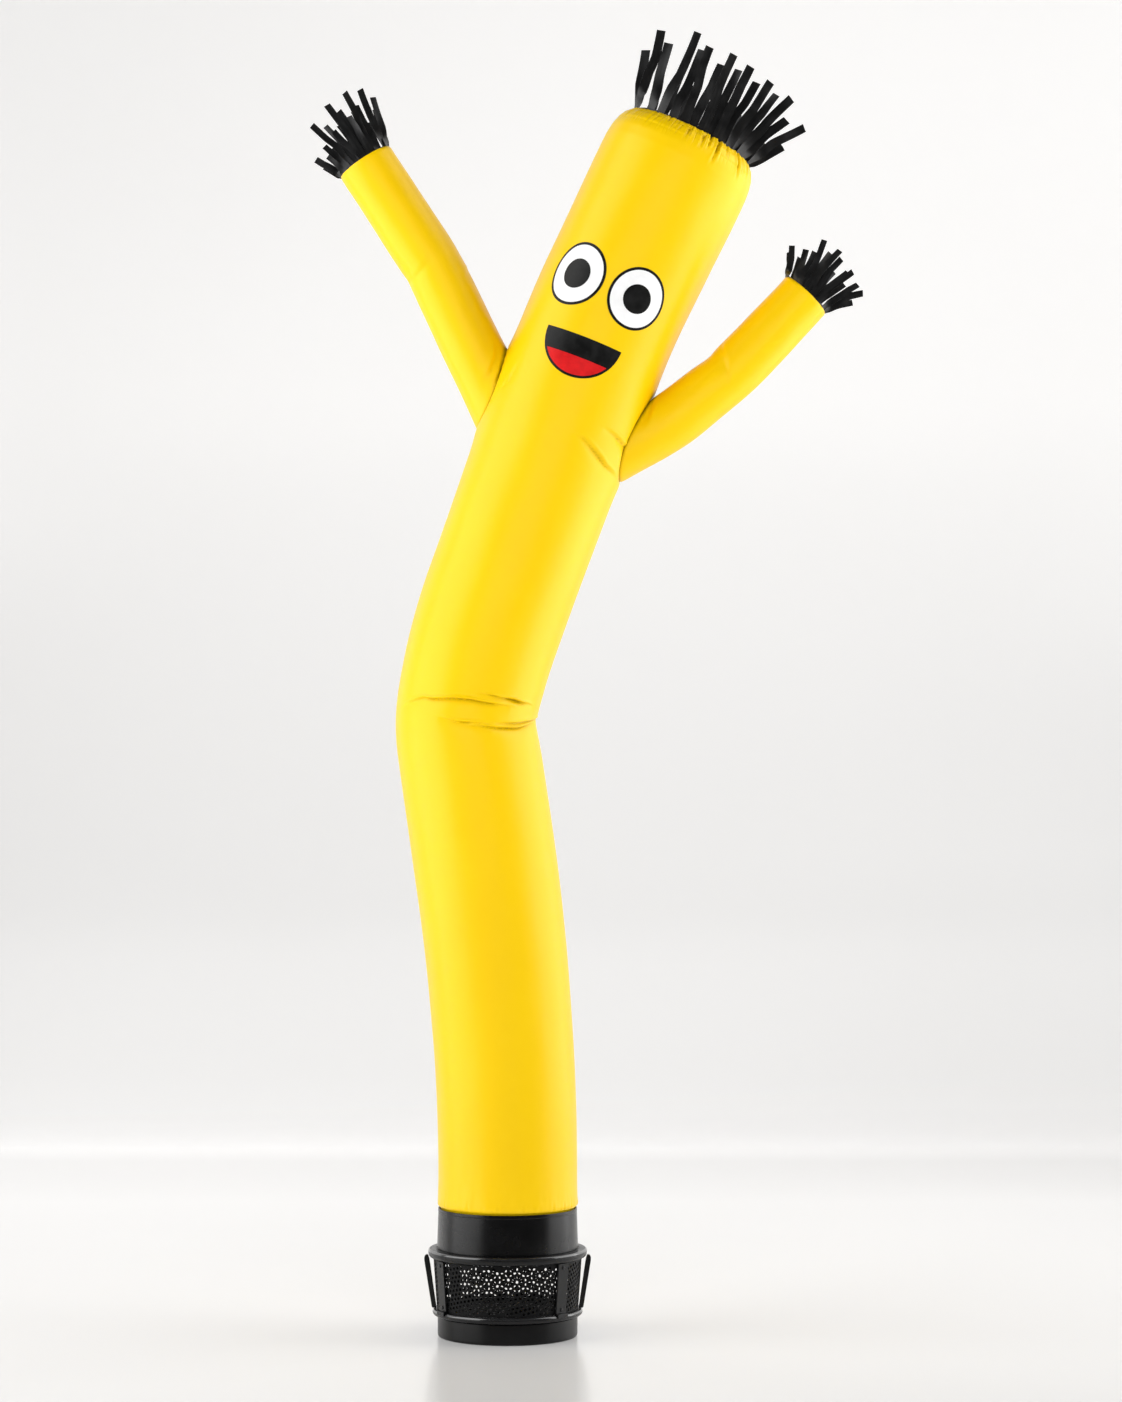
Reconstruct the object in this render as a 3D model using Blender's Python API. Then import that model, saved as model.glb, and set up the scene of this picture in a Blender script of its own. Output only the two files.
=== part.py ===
"""Inflatable air dancer standing on its blower base. Blender 4.5, metres, +Z up.

The origin is the centre of the base's flat underside. The dancer faces -Y, and its left hand in this file is the one on the -X side.
The body, the arms and the fringes are thin hollow cloth; the base under them is turned and bent metal and plastic.
"""

import math

import bmesh
import bpy
from mathutils import Vector

for old in list(bpy.data.objects):
    bpy.data.objects.remove(old, do_unlink=True)

# ---------------------------------------------------------------- sizes

GAP = 0.0004  # between neighbouring pieces
SEAM = 0.0010  # between a sleeve and the cloth it is sewn to
CLOTH = 0.002  # thickness of the tube's cloth
STRIP = 0.0016  # thickness of a fringe strip
SIDES = 32  # facets round the body
ARM_SIDES = 20
TURNED = 40  # facets round the base's turned pieces

# The body's middle line. z: height, x: to the side, y: to the back, r: radius across the tube.
BODY = [
    # z,     x,      y,      r
    (0.262, 0.000, 0.000, 0.1548),
    (0.430, 0.000, 0.000, 0.1550),
    (0.594, -0.005, -0.003, 0.1556),
    (0.760, -0.016, -0.008, 0.1570),
    (0.928, -0.033, -0.013, 0.1586),
    (1.095, -0.055, -0.018, 0.1594),
    (1.262, -0.079, -0.021, 0.1588),
    (1.373, -0.091, -0.022, 0.1562),
    (1.484, -0.071, -0.021, 0.1604),
    (1.596, -0.039, -0.018, 0.1637),
    (1.707, 0.000, -0.012, 0.1650),
    (1.874, 0.060, 0.000, 0.1676),
    (2.072, 0.135, 0.014, 0.1688),
    (2.268, 0.214, 0.032, 0.1696),
    (2.440, 0.294, 0.048, 0.1712),
    (2.560, 0.352, 0.060, 0.1732),
    (2.672, 0.407, 0.071, 0.1736),
]

# The foot, tucked into the collar and spread over its rim. z: height, r: outer radius.
FOOT = [
    # z,      r
    (0.2620, 0.1488),
    (0.2860, 0.1488),
    (0.2888, 0.1496),
    (0.2902, 0.1518),
    (0.2915, 0.1542),
    (0.2945, 0.1558),
    (0.3000, 0.1563),
    (0.3150, 0.1556),
    (0.3500, 0.1549),
]

# The crown's shoulder. below: distance under the rim, share: of the tube's radius there.
CROWN = [
    # below, share
    (0.100, 1.000),
    (0.072, 0.998),
    (0.046, 0.983),
    (0.026, 0.950),
    (0.012, 0.901),
    (0.004, 0.853),
    (0.000, 0.826),
]

# Folds pressed into the tube, each a straight trough between two places on it.
# az: degrees round the tube from its right side towards its back, so that -90 is its front. z: height of the middle line.
FOLDS = [
    # name,          az_a,  z_a,   az_b,  z_b,   depth, half_width
    ("waist_upper", -143.0, 1.418, -54.0, 1.402, 0.0050, 0.012),
    ("waist_upper_end", -70.0, 1.425, -28.0, 1.404, 0.0040, 0.012),
    ("waist_lower", -100.0, 1.362, 62.0, 1.366, 0.0080, 0.014),
    ("armpit_low", -56.0, 1.985, -6.0, 1.900, 0.0040, 0.013),
    ("armpit_high", -40.0, 1.985, -6.0, 1.950, 0.0030, 0.012),
]
RIDGE = 0.45  # a trough's two lips stand this share of its depth proud

# Where the tube's sections stand, as heights of the middle line. The last run is placed by the crown table.
SECTION_RUNS = [
    # z_from, z_to,  steps
    (0.350, 1.250, 9),
    (1.250, 1.330, 2),
    (1.330, 1.450, 8),
    (1.450, 1.850, 4),
    (1.850, 2.020, 5),
    (2.020, 2.560, 5),
]

# The arms. s: which way along the arm, from inside the body to the hand. r: outer radius.
ARM_LEFT = [
    # z,     x,       y,     r
    (2.068, -0.0140, 0.034, 0.0680),
    (2.150, -0.0535, 0.036, 0.0678),
    (2.290, -0.1200, 0.040, 0.0672),
    (2.360, -0.1535, 0.043, 0.0668),
    (2.384, -0.1655, 0.044, 0.0655),
    (2.410, -0.1820, 0.045, 0.0664),
    (2.500, -0.2405, 0.048, 0.0662),
    (2.606, -0.3100, 0.052, 0.0656),
    (2.618, -0.3178, 0.053, 0.0652),
]
ARM_RIGHT = [
    # z,      x,      y,     r
    (1.9430, 0.1950, -0.004, 0.0600),
    (1.9750, 0.2590, -0.003, 0.0615),
    (2.0358, 0.3604, 0.001, 0.0634),
    (2.1000, 0.4420, 0.006, 0.0626),
    (2.1347, 0.4878, 0.009, 0.0606),
    (2.1560, 0.5095, 0.011, 0.0620),
    (2.2300, 0.5815, 0.016, 0.0613),
    (2.3090, 0.6545, 0.021, 0.0602),
    (2.3190, 0.6640, 0.022, 0.0598),
]

# The fringes. Each strip leans with the tube's end, fans sideways and outwards, and bends as it goes.
FRINGES = {
    # strips: how many, wide: width, long: longest, short: share of it that the shortest has, edge: share lost at the fan's two sides
    # band: height of the band, fan: sideways lean at the left and the right side, out: outward lean to front and back, curl: more lean at the tip
    "head_fringe": dict(strips=30, wide=0.0190, long=0.196, short=0.76, edge=0.06, band=0.022, fan=(-0.20, 0.52), out=0.26, curl=0.06),
    "hand_fringe_left": dict(strips=14, wide=0.0150, long=0.150, short=0.72, edge=0.44, band=0.014, fan=(-0.48, 0.26), out=0.30, curl=0.04),
    "hand_fringe_right": dict(strips=13, wide=0.0150, long=0.124, short=0.76, edge=0.22, band=0.014, fan=(-0.52, 0.42), out=0.30, curl=0.06),
}

FLOOR_TOP = 0.0565  # top of the cage's floor

# The base's turned pieces, as rings of (radius, height), run outside down and inside up.
COLLAR = [
    (0.1516, 0.2867), (0.1530, 0.2867), (0.1541, 0.2858), (0.1546, 0.2843), (0.1546, 0.2810), (0.1552, 0.2700),
    (0.1572, 0.1985), (0.1572, 0.1963), (0.1540, 0.1963), (0.1514, 0.2700),
]
FLANGE = [
    (0.1520, 0.1960), (0.1740, 0.1960), (0.1762, 0.1948), (0.1770, 0.1925), (0.1770, 0.1870), (0.1762, 0.1828),
    (0.1738, 0.1793), (0.1700, 0.1772), (0.1650, 0.1765), (0.1520, 0.1765),
]
GRILLE = [(0.1560, 0.1762), (0.1580, 0.1762), (0.1580, 0.0626), (0.1560, 0.0626)]
LOWER_RING = [
    (0.1500, 0.0623), (0.1620, 0.0623), (0.1650, 0.0614), (0.1668, 0.0592), (0.1673, 0.0560), (0.1668, 0.0525),
    (0.1645, 0.0492), (0.1600, 0.0478), (0.1500, 0.0478),
]
BASE_DRUM = [
    (0.0000, 0.0475), (0.1535, 0.0475), (0.1560, 0.0455), (0.1560, 0.0060), (0.1548, 0.0018), (0.1515, 0.0000), (0.0000, 0.0000),
]
FLOOR = [(0.0000, FLOOR_TOP), (0.1494, FLOOR_TOP), (0.1494, 0.0478), (0.0000, 0.0478)]
MOTOR_CAP = [
    (0.0000, 0.0760), (0.0130, 0.0752), (0.0240, 0.0728), (0.0330, 0.0690), (0.0385, 0.0640), (0.0405, 0.0580),
    (0.0405, 0.0530), (0.0000, 0.0530),
]
MOTOR_AT = (0.038, -0.058)

POSTS = [
    # name,             azimuth in degrees
    ("post_front_left", -151.0),
    ("post_front_right", -43.0),
    ("post_back_right", 29.0),
    ("post_back_left", 137.0),
]
POST_WIDE, POST_DEEP, POST_IN = 0.0370, 0.0050, 0.1586
POST_Z = (0.0626, 0.1762)

STRUTS = [("strut_right", 0.0), ("strut_left", 180.0)]
STRUT_WIDE = 0.014
STRUT_SIDE = [  # (radius, height) round the bar's side
    (0.1775, 0.1808), (0.1812, 0.1806), (0.1840, 0.1780), (0.1850, 0.1720), (0.1843, 0.1660), (0.1642, 0.0626),
    (0.1590, 0.0626), (0.1738, 0.1700), (0.1775, 0.1770),
]

# The cage's floor carries low ribs side by side across it, a little turned, and a domed motor cap off its middle.
RIBS, RIB_PITCH, RIB_WIDE, RIB_TALL, RIB_TURN, RIB_REACH = 17, 0.0162, 0.0018, 0.0034, math.radians(8), 0.1435

COLOURS = {
    # material: (red, green, blue), roughness, metallic
    "yellow_cloth": ((1.0, 0.70, 0.0), 0.45, 0.0),
    "black_strip": ((0.012, 0.012, 0.013), 0.45, 0.0),
    "black_plastic": ((0.016, 0.016, 0.017), 0.38, 0.0),
    "black_metal": ((0.018, 0.018, 0.019), 0.42, 0.6),
}

# ---------------------------------------------------------------- helpers


def finish(name, mesh_maker, material, round_piece=True):
    """An object of this name around the closed mesh that mesh_maker fills in."""
    bm = bmesh.new()
    mesh_maker(bm)
    bmesh.ops.remove_doubles(bm, verts=bm.verts, dist=1e-7)
    bmesh.ops.recalc_face_normals(bm, faces=bm.faces)
    mesh = bpy.data.meshes.new(name)
    bm.to_mesh(mesh)
    bm.free()
    obj = bpy.data.objects.new(name, mesh)
    bpy.context.scene.collection.objects.link(obj)
    mesh.materials.append(material_of(material))
    if round_piece:
        mesh.shade_smooth()
        mesh.set_sharp_from_angle(angle=math.radians(40))
    return obj


def material_of(name):
    if name in bpy.data.materials:
        return bpy.data.materials[name]
    colour, rough, metal = COLOURS[name]
    made = bpy.data.materials.new(name)
    made.use_nodes = True
    shader = made.node_tree.nodes["Principled BSDF"]
    shader.inputs["Base Color"].default_value = (*colour, 1)
    shader.inputs["Roughness"].default_value = rough
    shader.inputs["Metallic"].default_value = metal
    made.diffuse_color = (*colour, 1)
    return made


def cutter(name, mesh_maker):
    obj = finish(name, mesh_maker, "yellow_cloth")
    obj.hide_render = True
    obj.display_type = "WIRE"
    return obj


def boolean(obj, other, operation="DIFFERENCE"):
    cut = obj.modifiers.new(operation.lower(), "BOOLEAN")
    cut.operation, cut.solver, cut.object = operation, "EXACT", other


def between(table, at, column, key=0):
    """The column's value where the key column is at, on a smooth curve through the rows."""
    rows = [row for row in table]
    if at <= rows[0][key]:
        return rows[0][column]
    if at >= rows[-1][key]:
        return rows[-1][column]
    n = next(i for i in range(1, len(rows)) if at <= rows[i][key])

    def slope(i):
        a, b = max(i - 1, 0), min(i + 1, len(rows) - 1)
        return (rows[b][column] - rows[a][column]) / (rows[b][key] - rows[a][key])

    low, high = rows[n - 1], rows[n]
    span = high[key] - low[key]
    t = (at - low[key]) / span
    h = ((2 * t - 3) * t * t + 1, ((t - 2) * t + 1) * t, (3 - 2 * t) * t * t, (t - 1) * t * t)
    return h[0] * low[column] + h[1] * span * slope(n - 1) + h[2] * high[column] + h[3] * span * slope(n)


def straight(table, at, column, key=0):
    """The column's value where the key column is at, on straight lines between the rows, whose key rises or falls."""
    rows = sorted(table, key=lambda row: row[key])
    if at <= rows[0][key]:
        return rows[0][column]
    for low, high in zip(rows, rows[1:]):
        if at <= high[key]:
            return low[column] + (high[column] - low[column]) * (at - low[key]) / (high[key] - low[key])
    return rows[-1][column]


def spine_frame(table, z):
    """(middle, along, right, back) of the tube whose middle line is at height z."""
    step = 0.004
    low, high = max(z - step, table[0][0]), min(z + step, table[-1][0])
    point = Vector((between(table, z, 1), between(table, z, 2), z))
    along = Vector((between(table, high, 1) - between(table, low, 1), between(table, high, 2) - between(table, low, 2), high - low)).normalized()
    right = Vector((0, 1, 0)).cross(along).normalized()
    return point, along, right, along.cross(right)


def fold_depth(azimuth, z, radius):
    """How far the folds press the cloth in at this place. Distances are measured on the tube's own surface."""
    total = 0.0
    for _, az_a, z_a, az_b, z_b, depth, wide in FOLDS:
        turn = (azimuth - az_a + 180) % 360 - 180
        across, up = math.radians(az_b - az_a) * radius, z_b - z_a
        long = math.hypot(across, up)
        dx, dz = math.radians(turn) * radius, z - z_a
        t = (dx * across + dz * up) / (long * long)
        off = abs(dx * up - dz * across) / long / wide
        if not -0.05 < t < 1.05 or off > 3:
            continue
        ends = math.sin(math.pi * min(max((t + 0.05) / 1.1, 0), 1)) ** 0.6
        trough = math.exp(-off * off) - RIDGE * math.exp(-((off - 1.7) / 0.7) ** 2)
        total += depth * ends * trough
    return total


def body_sections():
    """[(z of the middle line, outer radius)] from the foot to the crown's rim."""
    places = [row[0] for row in FOOT]
    for z_from, z_to, steps in SECTION_RUNS:
        places += [z_from + (z_to - z_from) * (k + 1) / steps for k in range(steps)]
    top = BODY[-1][0]
    _, along, _, _ = spine_frame(BODY, top)
    places = [z for z in places if z < top - CROWN[0][0] * along.z - 0.01]
    places += [top - row[0] * along.z for row in CROWN]
    found = []
    for z in places:
        radius = between(BODY, z, 3)
        if z < FOOT[-1][0]:
            radius = straight(FOOT, z, 1)
        below = (top - z) / along.z
        if below < CROWN[0][0]:
            radius *= straight(CROWN, below, 1)
        found.append((z, radius))
    return found


def rings_of(table, sections, sides, grow=0.0, folds=True):
    """The points of each section, moved out by grow, square to the tube's surface."""
    rings = []
    for n, (z, radius) in enumerate(sections):
        point, along, right, back = spine_frame(table, z)
        (z_low, r_low), (z_high, r_high) = sections[max(n - 1, 0)], sections[min(n + 1, len(sections) - 1)]
        slope = math.atan2(r_high - r_low, (z_high - z_low) / along.z)
        ring = []
        for k in range(sides):
            turn = 2 * math.pi * k / sides
            r = radius + grow * math.cos(slope)
            if folds:
                r -= fold_depth(math.degrees(turn), z, radius)
            ring.append(point - along * (grow * math.sin(slope)) + r * (math.cos(turn) * right + math.sin(turn) * back))
        rings.append(ring)
    return rings


def skin(bm, rings, closed_loop=False):
    """Faces between neighbouring rings of points, and the rings' own vertices."""
    made = [[bm.verts.new(p) for p in ring] for ring in rings]
    pairs = list(zip(made, made[1:]))
    if closed_loop:
        pairs.append((made[-1], made[0]))
    for low, high in pairs:
        for k in range(len(low)):
            j = (k + 1) % len(low)
            bm.faces.new((low[k], low[j], high[j], high[k]))
    return made


def hollow_tube(table, sections, sides, folds):
    """A maker of the tube's cloth: its outer skin, its inner skin and the two rims."""

    def make(bm):
        outside = rings_of(table, sections, sides, 0.0, folds)
        inside = rings_of(table, sections, sides, -CLOTH, folds)
        skin(bm, outside + inside[::-1], closed_loop=True)

    return make


def solid_tube(table, sections, sides, grow, folds):
    def make(bm):
        made = skin(bm, rings_of(table, sections, sides, grow, folds))
        bm.faces.new(made[0][::-1])
        bm.faces.new(made[-1])

    return make


def turned(profile, sides=TURNED):
    """A maker of the ring or disc that this profile of (radius, height) makes when turned round the Z axis."""

    def make(bm):
        on_axis = profile[0][0] == 0
        rings = []
        for r, z in profile:
            rings.append([Vector((r * math.cos(2 * math.pi * k / sides), r * math.sin(2 * math.pi * k / sides), z)) for k in range(sides)])
        if not on_axis:
            skin(bm, rings, closed_loop=True)
            return
        made = skin(bm, rings[1:-1])
        for ring, z in ((made[0], profile[0][1]), (made[-1], profile[-1][1])):
            middle = bm.verts.new((0, 0, z))
            for k in range(sides):
                bm.faces.new((ring[k], ring[(k + 1) % sides], middle))

    return make


def bar(outline, low, high, place):
    """A maker of the prism over an outline of (a, b) between two offsets, each corner put where place says."""

    def make(bm):
        ends = [[bm.verts.new(place(a, b, offset)) for a, b in outline] for offset in (low, high)]
        bm.faces.new(ends[0])
        bm.faces.new(ends[1][::-1])
        for k in range(len(outline)):
            j = (k + 1) % len(outline)
            bm.faces.new((ends[0][k], ends[0][j], ends[1][j], ends[1][k]))

    return make


# ---------------------------------------------------------------- cloth

sections = body_sections()
body = finish("body", hollow_tube(BODY, sections, SIDES, True), "yellow_cloth")


def arm_sections(table):
    return [(row[0], row[3]) for row in table]


chest = [s for s in sections if 1.75 < s[0] < 2.45]
body_envelope = cutter("body_envelope", solid_tube(BODY, chest, SIDES, SEAM, True))

for name, table in (("arm_left", ARM_LEFT), ("arm_right", ARM_RIGHT)):
    arm = finish(name, hollow_tube(table, arm_sections(table), ARM_SIDES, False), "yellow_cloth")
    boolean(arm, body_envelope)
    hole = cutter(name + "_hole", solid_tube(table, arm_sections(table), ARM_SIDES, -CLOTH, False))
    boolean(body, hole)


def fringe(frame, radius, strips, wide, long, short, edge, band, fan, out, curl):
    """A maker of one comb: a band inside the tube's end and a strip on every other stretch of it."""
    point, along, right, back = frame
    inner = radius - STRIP

    def at(turn, r, up, side=0.0, depth=0.0):
        around = math.cos(turn) * right + math.sin(turn) * back
        return point + r * around + up * along + side * right + depth * back

    def make(bm):
        half = wide / 2 / radius
        cuts = []
        for n in range(strips):
            middle = 2 * math.pi * (n + 0.5) / strips
            cuts += [middle - half, middle + half]
        low_out, low_in, top_out, top_in = ([bm.verts.new(at(t, r, up)) for t in cuts] for r, up in ((radius, -band), (inner, -band), (radius, 0.003), (inner, 0.003)))
        count = len(cuts)
        for k in range(count):
            j = (k + 1) % count
            bm.faces.new((low_out[k], low_out[j], top_out[j], top_out[k]))
            bm.faces.new((low_in[j], low_in[k], top_in[k], top_in[j]))
            bm.faces.new((low_out[j], low_out[k], low_in[k], low_in[j]))
            if k % 2:
                bm.faces.new((top_out[k], top_out[j], top_in[j], top_in[k]))
        for n in range(strips):
            a, b = 2 * n, 2 * n + 1
            middle = (cuts[a] + cuts[b]) / 2
            tall = long * (short + (1 - short) * abs(math.sin(2.4 * n + 0.6))) * (1 - edge * math.cos(middle) ** 4)
            lean = (fan[0] + fan[1]) / 2 + (fan[1] - fan[0]) / 2 * math.cos(middle)
            depth = out * math.sin(middle)
            last = [top_out[a], top_out[b], top_in[b], top_in[a]]
            for t in (0.35, 0.7, 1.0):
                up = 0.003 + tall * t
                side = tall * (lean * t + curl * (1 if lean > 0 else -1) * t * t)
                far = tall * depth * t
                row = [bm.verts.new(at(turn, r, up, side, far)) for turn, r in ((cuts[a], radius), (cuts[b], radius), (cuts[b], inner), (cuts[a], inner))]
                for i in range(4):
                    j = (i + 1) % 4
                    bm.faces.new((last[i], last[j], row[j], row[i]))
                last = row
            bm.faces.new(last)

    return make


ENDS = {
    # fringe: the tube's middle line, the outer radius of its rim, the facets round it
    "head_fringe": (BODY, sections[-1][1], SIDES),
    "hand_fringe_left": (ARM_LEFT, ARM_LEFT[-1][3], ARM_SIDES),
    "hand_fringe_right": (ARM_RIGHT, ARM_RIGHT[-1][3], ARM_SIDES),
}
for name, sizes in FRINGES.items():
    table, rim, sides = ENDS[name]
    room = (rim - CLOTH) * math.cos(math.pi / sides) - GAP
    finish(name, fringe(spine_frame(table, table[-1][0]), room, **sizes), "black_strip")

# ---------------------------------------------------------------- base

finish("collar", turned(COLLAR), "black_plastic")
finish("flange_ring", turned(FLANGE), "black_metal")
finish("grille", turned(GRILLE), "black_metal")
finish("lower_ring", turned(LOWER_RING), "black_metal")
finish("base_drum", turned(BASE_DRUM), "black_plastic")

floor = finish("cage_floor", turned(FLOOR), "black_plastic")


def rib_plates(bm):
    """Straight ribs side by side, each as long as the disc is there, their feet sunk into it."""
    ahead, side = Vector((math.sin(RIB_TURN), math.cos(RIB_TURN), 0)), Vector((math.cos(RIB_TURN), -math.sin(RIB_TURN), 0))
    for n in range(RIBS):
        off = (n - (RIBS - 1) / 2) * RIB_PITCH
        reach = math.sqrt(RIB_REACH**2 - off**2)
        corners = []
        for z in (FLOOR_TOP - 0.002, FLOOR_TOP + RIB_TALL):
            for a, b in ((-1, -1), (-1, 1), (1, 1), (1, -1)):
                corners.append(bm.verts.new(ahead * (a * reach) + side * (off + b * RIB_WIDE / 2) + Vector((0, 0, z))))
        low, high = corners[:4], corners[4:]
        bm.faces.new(low)
        bm.faces.new(high[::-1])
        for k in range(4):
            j = (k + 1) % 4
            bm.faces.new((low[k], low[j], high[j], high[k]))


boolean(floor, cutter("rib_plates", rib_plates), "UNION")
cap = cutter("motor_cap", turned(MOTOR_CAP, 24))
cap.location = (*MOTOR_AT, 0)
boolean(floor, cap, "UNION")


def radial(azimuth):
    """Places (distance from the axis, height, sideways offset) in the upright plane at this azimuth."""
    turn = math.radians(azimuth)
    out, side = Vector((math.cos(turn), math.sin(turn), 0)), Vector((-math.sin(turn), math.cos(turn), 0))
    return lambda a, b, offset: out * a + Vector((0, 0, b)) + side * offset


for name, azimuth in POSTS:
    edge = 0.0012
    low, high = POST_Z
    near, far = POST_IN, POST_IN + POST_DEEP
    outline = [(near, low), (far - edge, low), (far, low + edge), (far, high - edge), (far - edge, high), (near, high)]
    # A flat bar's inner face clears the drum at its middle, where the drum stands out furthest.
    finish(name, bar(outline, -POST_WIDE / 2, POST_WIDE / 2, radial(azimuth)), "black_metal", False)

for name, azimuth in STRUTS:
    finish(name, bar(STRUT_SIDE, -STRUT_WIDE / 2, STRUT_WIDE / 2, radial(azimuth)), "black_metal", False)
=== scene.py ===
"""Looks for the inflatable air dancer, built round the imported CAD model. Blender 4.5, metres, +Z up, the dancer faces -Y."""

import math
import random

import bpy
import numpy as np
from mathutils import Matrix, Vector
from mathutils.geometry import delaunay_2d_cdt


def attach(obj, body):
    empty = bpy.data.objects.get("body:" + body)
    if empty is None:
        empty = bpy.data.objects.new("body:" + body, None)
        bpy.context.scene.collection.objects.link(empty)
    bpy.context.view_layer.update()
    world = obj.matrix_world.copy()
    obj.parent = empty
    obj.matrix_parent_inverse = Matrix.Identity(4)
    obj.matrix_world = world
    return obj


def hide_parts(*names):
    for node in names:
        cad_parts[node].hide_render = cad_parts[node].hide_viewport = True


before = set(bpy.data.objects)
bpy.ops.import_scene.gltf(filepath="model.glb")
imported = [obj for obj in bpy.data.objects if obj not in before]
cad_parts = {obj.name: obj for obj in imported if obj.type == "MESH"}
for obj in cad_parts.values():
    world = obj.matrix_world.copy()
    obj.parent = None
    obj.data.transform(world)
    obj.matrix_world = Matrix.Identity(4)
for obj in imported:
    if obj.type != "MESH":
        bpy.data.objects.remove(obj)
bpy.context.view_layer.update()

# ---------------------------------------------------------------- the tubes' tables, as in the CAD

# The body's middle line. z: height, x: to the side, y: to the back, r: radius across the tube.
BODY = np.array([
    (0.262, 0.000, 0.000, 0.1548), (0.430, 0.000, 0.000, 0.1550), (0.594, -0.005, -0.003, 0.1556), (0.760, -0.016, -0.008, 0.1570),
    (0.928, -0.033, -0.013, 0.1586), (1.095, -0.055, -0.018, 0.1594), (1.262, -0.079, -0.021, 0.1588), (1.373, -0.091, -0.022, 0.1562),
    (1.484, -0.071, -0.021, 0.1604), (1.596, -0.039, -0.018, 0.1637), (1.707, 0.000, -0.012, 0.1650), (1.874, 0.060, 0.000, 0.1676),
    (2.072, 0.135, 0.014, 0.1688), (2.268, 0.214, 0.032, 0.1696), (2.440, 0.294, 0.048, 0.1712), (2.560, 0.352, 0.060, 0.1732),
    (2.672, 0.407, 0.071, 0.1736),
])
FOOT = np.array([
    # z, outer radius
    (0.2620, 0.1488), (0.2860, 0.1488), (0.2888, 0.1496), (0.2902, 0.1518), (0.2915, 0.1542), (0.2945, 0.1558), (0.3000, 0.1563),
    (0.3150, 0.1556), (0.3500, 0.1549),
])
CROWN = np.array([
    # distance under the rim, share of the tube's radius
    (0.000, 0.826), (0.004, 0.853), (0.012, 0.901), (0.026, 0.950), (0.046, 0.983), (0.072, 0.998), (0.100, 1.000),
])
ARM_LEFT = np.array([
    # z, x, y, r: the first row lies inside the body, where the CAD's sleeve is already cut off
    (2.030, 0.0043, 0.033, 0.0681), (2.068, -0.0140, 0.034, 0.0680), (2.150, -0.0535, 0.036, 0.0678), (2.290, -0.1200, 0.040, 0.0672), (2.360, -0.1535, 0.043, 0.0668),
    (2.384, -0.1655, 0.044, 0.0655), (2.410, -0.1820, 0.045, 0.0664), (2.500, -0.2405, 0.048, 0.0662), (2.606, -0.3100, 0.052, 0.0656),
    (2.618, -0.3178, 0.053, 0.0652),
])
ARM_RIGHT = np.array([
    (1.9430, 0.1950, -0.004, 0.0600), (1.9750, 0.2590, -0.003, 0.0615), (2.0358, 0.3604, 0.001, 0.0634), (2.1000, 0.4420, 0.006, 0.0626),
    (2.1347, 0.4878, 0.009, 0.0606), (2.1560, 0.5095, 0.011, 0.0620), (2.2300, 0.5815, 0.016, 0.0613), (2.3090, 0.6545, 0.021, 0.0602),
    (2.3190, 0.6640, 0.022, 0.0598),
])

# ---------------------------------------------------------------- small tools


def smooth(table, at, column):
    """The column's value where the first column is at, on a smooth curve through the rows."""
    key, val = table[:, 0], table[:, column]
    slope = np.empty(len(key))
    slope[1:-1] = (val[2:] - val[:-2]) / (key[2:] - key[:-2])
    slope[0] = (val[1] - val[0]) / (key[1] - key[0])
    slope[-1] = (val[-1] - val[-2]) / (key[-1] - key[-2])
    at = np.clip(np.asarray(at, float), key[0], key[-1])
    n = np.clip(np.searchsorted(key, at), 1, len(key) - 1)
    span = key[n] - key[n - 1]
    t = (at - key[n - 1]) / span
    return (
        ((2 * t - 3) * t * t + 1) * val[n - 1]
        + ((t - 2) * t + 1) * t * span * slope[n - 1]
        + (3 - 2 * t) * t * t * val[n]
        + (t - 1) * t * t * span * slope[n]
    )


def unit(v):
    return v / np.maximum(np.linalg.norm(v, axis=-1, keepdims=True), 1e-12)


def frames(table, z):
    """Middle, along, right and back of the tube at each height z."""
    z = np.atleast_1d(np.asarray(z, float))
    low, high = np.maximum(z - 0.004, table[0, 0]), np.minimum(z + 0.004, table[-1, 0])
    point = np.stack([smooth(table, z, 1), smooth(table, z, 2), z], 1)
    along = unit(np.stack([smooth(table, high, 1) - smooth(table, low, 1), smooth(table, high, 2) - smooth(table, low, 2), high - low], 1))
    right = unit(np.cross([0, 1, 0], along))
    return point, along, right, np.cross(along, right)


def ease(x, low, high):
    t = np.clip((np.asarray(x, float) - low) / (high - low), 0, 1)
    return t * t * (3 - 2 * t)


def make(name, verts, faces, material, uv=None, angle=40, smooth_shade=True, materials=None, face_material=None):
    """A mesh object. uv, if given, holds metres of cloth for each vertex."""
    mesh = bpy.data.meshes.new(name)
    mesh.from_pydata(np.asarray(verts, float).tolist(), [], [list(map(int, f)) for f in faces])
    mesh.validate()
    for m in materials or [material]:
        mesh.materials.append(m)
    if face_material is not None:
        mesh.polygons.foreach_set("material_index", np.asarray(face_material, np.int32))
    if uv is not None:
        layer = mesh.uv_layers.new(name="cloth")
        loops = np.empty(len(mesh.loops), np.int32)
        mesh.loops.foreach_get("vertex_index", loops)
        layer.data.foreach_set("uv", np.asarray(uv, np.float32)[loops].ravel())
    obj = bpy.data.objects.new(name, mesh)
    bpy.context.scene.collection.objects.link(obj)
    if smooth_shade:
        mesh.shade_smooth()
        mesh.set_sharp_from_angle(angle=math.radians(angle))
    mesh.update()
    return obj


def grid_faces(rows, columns, start=0, wrap=True, flip=False):
    r, c = np.meshgrid(np.arange(rows - 1), np.arange(columns if wrap else columns - 1), indexing="ij")
    d = (c + 1) % columns
    quads = np.stack([r * columns + c, r * columns + d, (r + 1) * columns + d, (r + 1) * columns + c], -1).reshape(-1, 4) + start
    return quads[:, ::-1] if flip else quads


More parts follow.
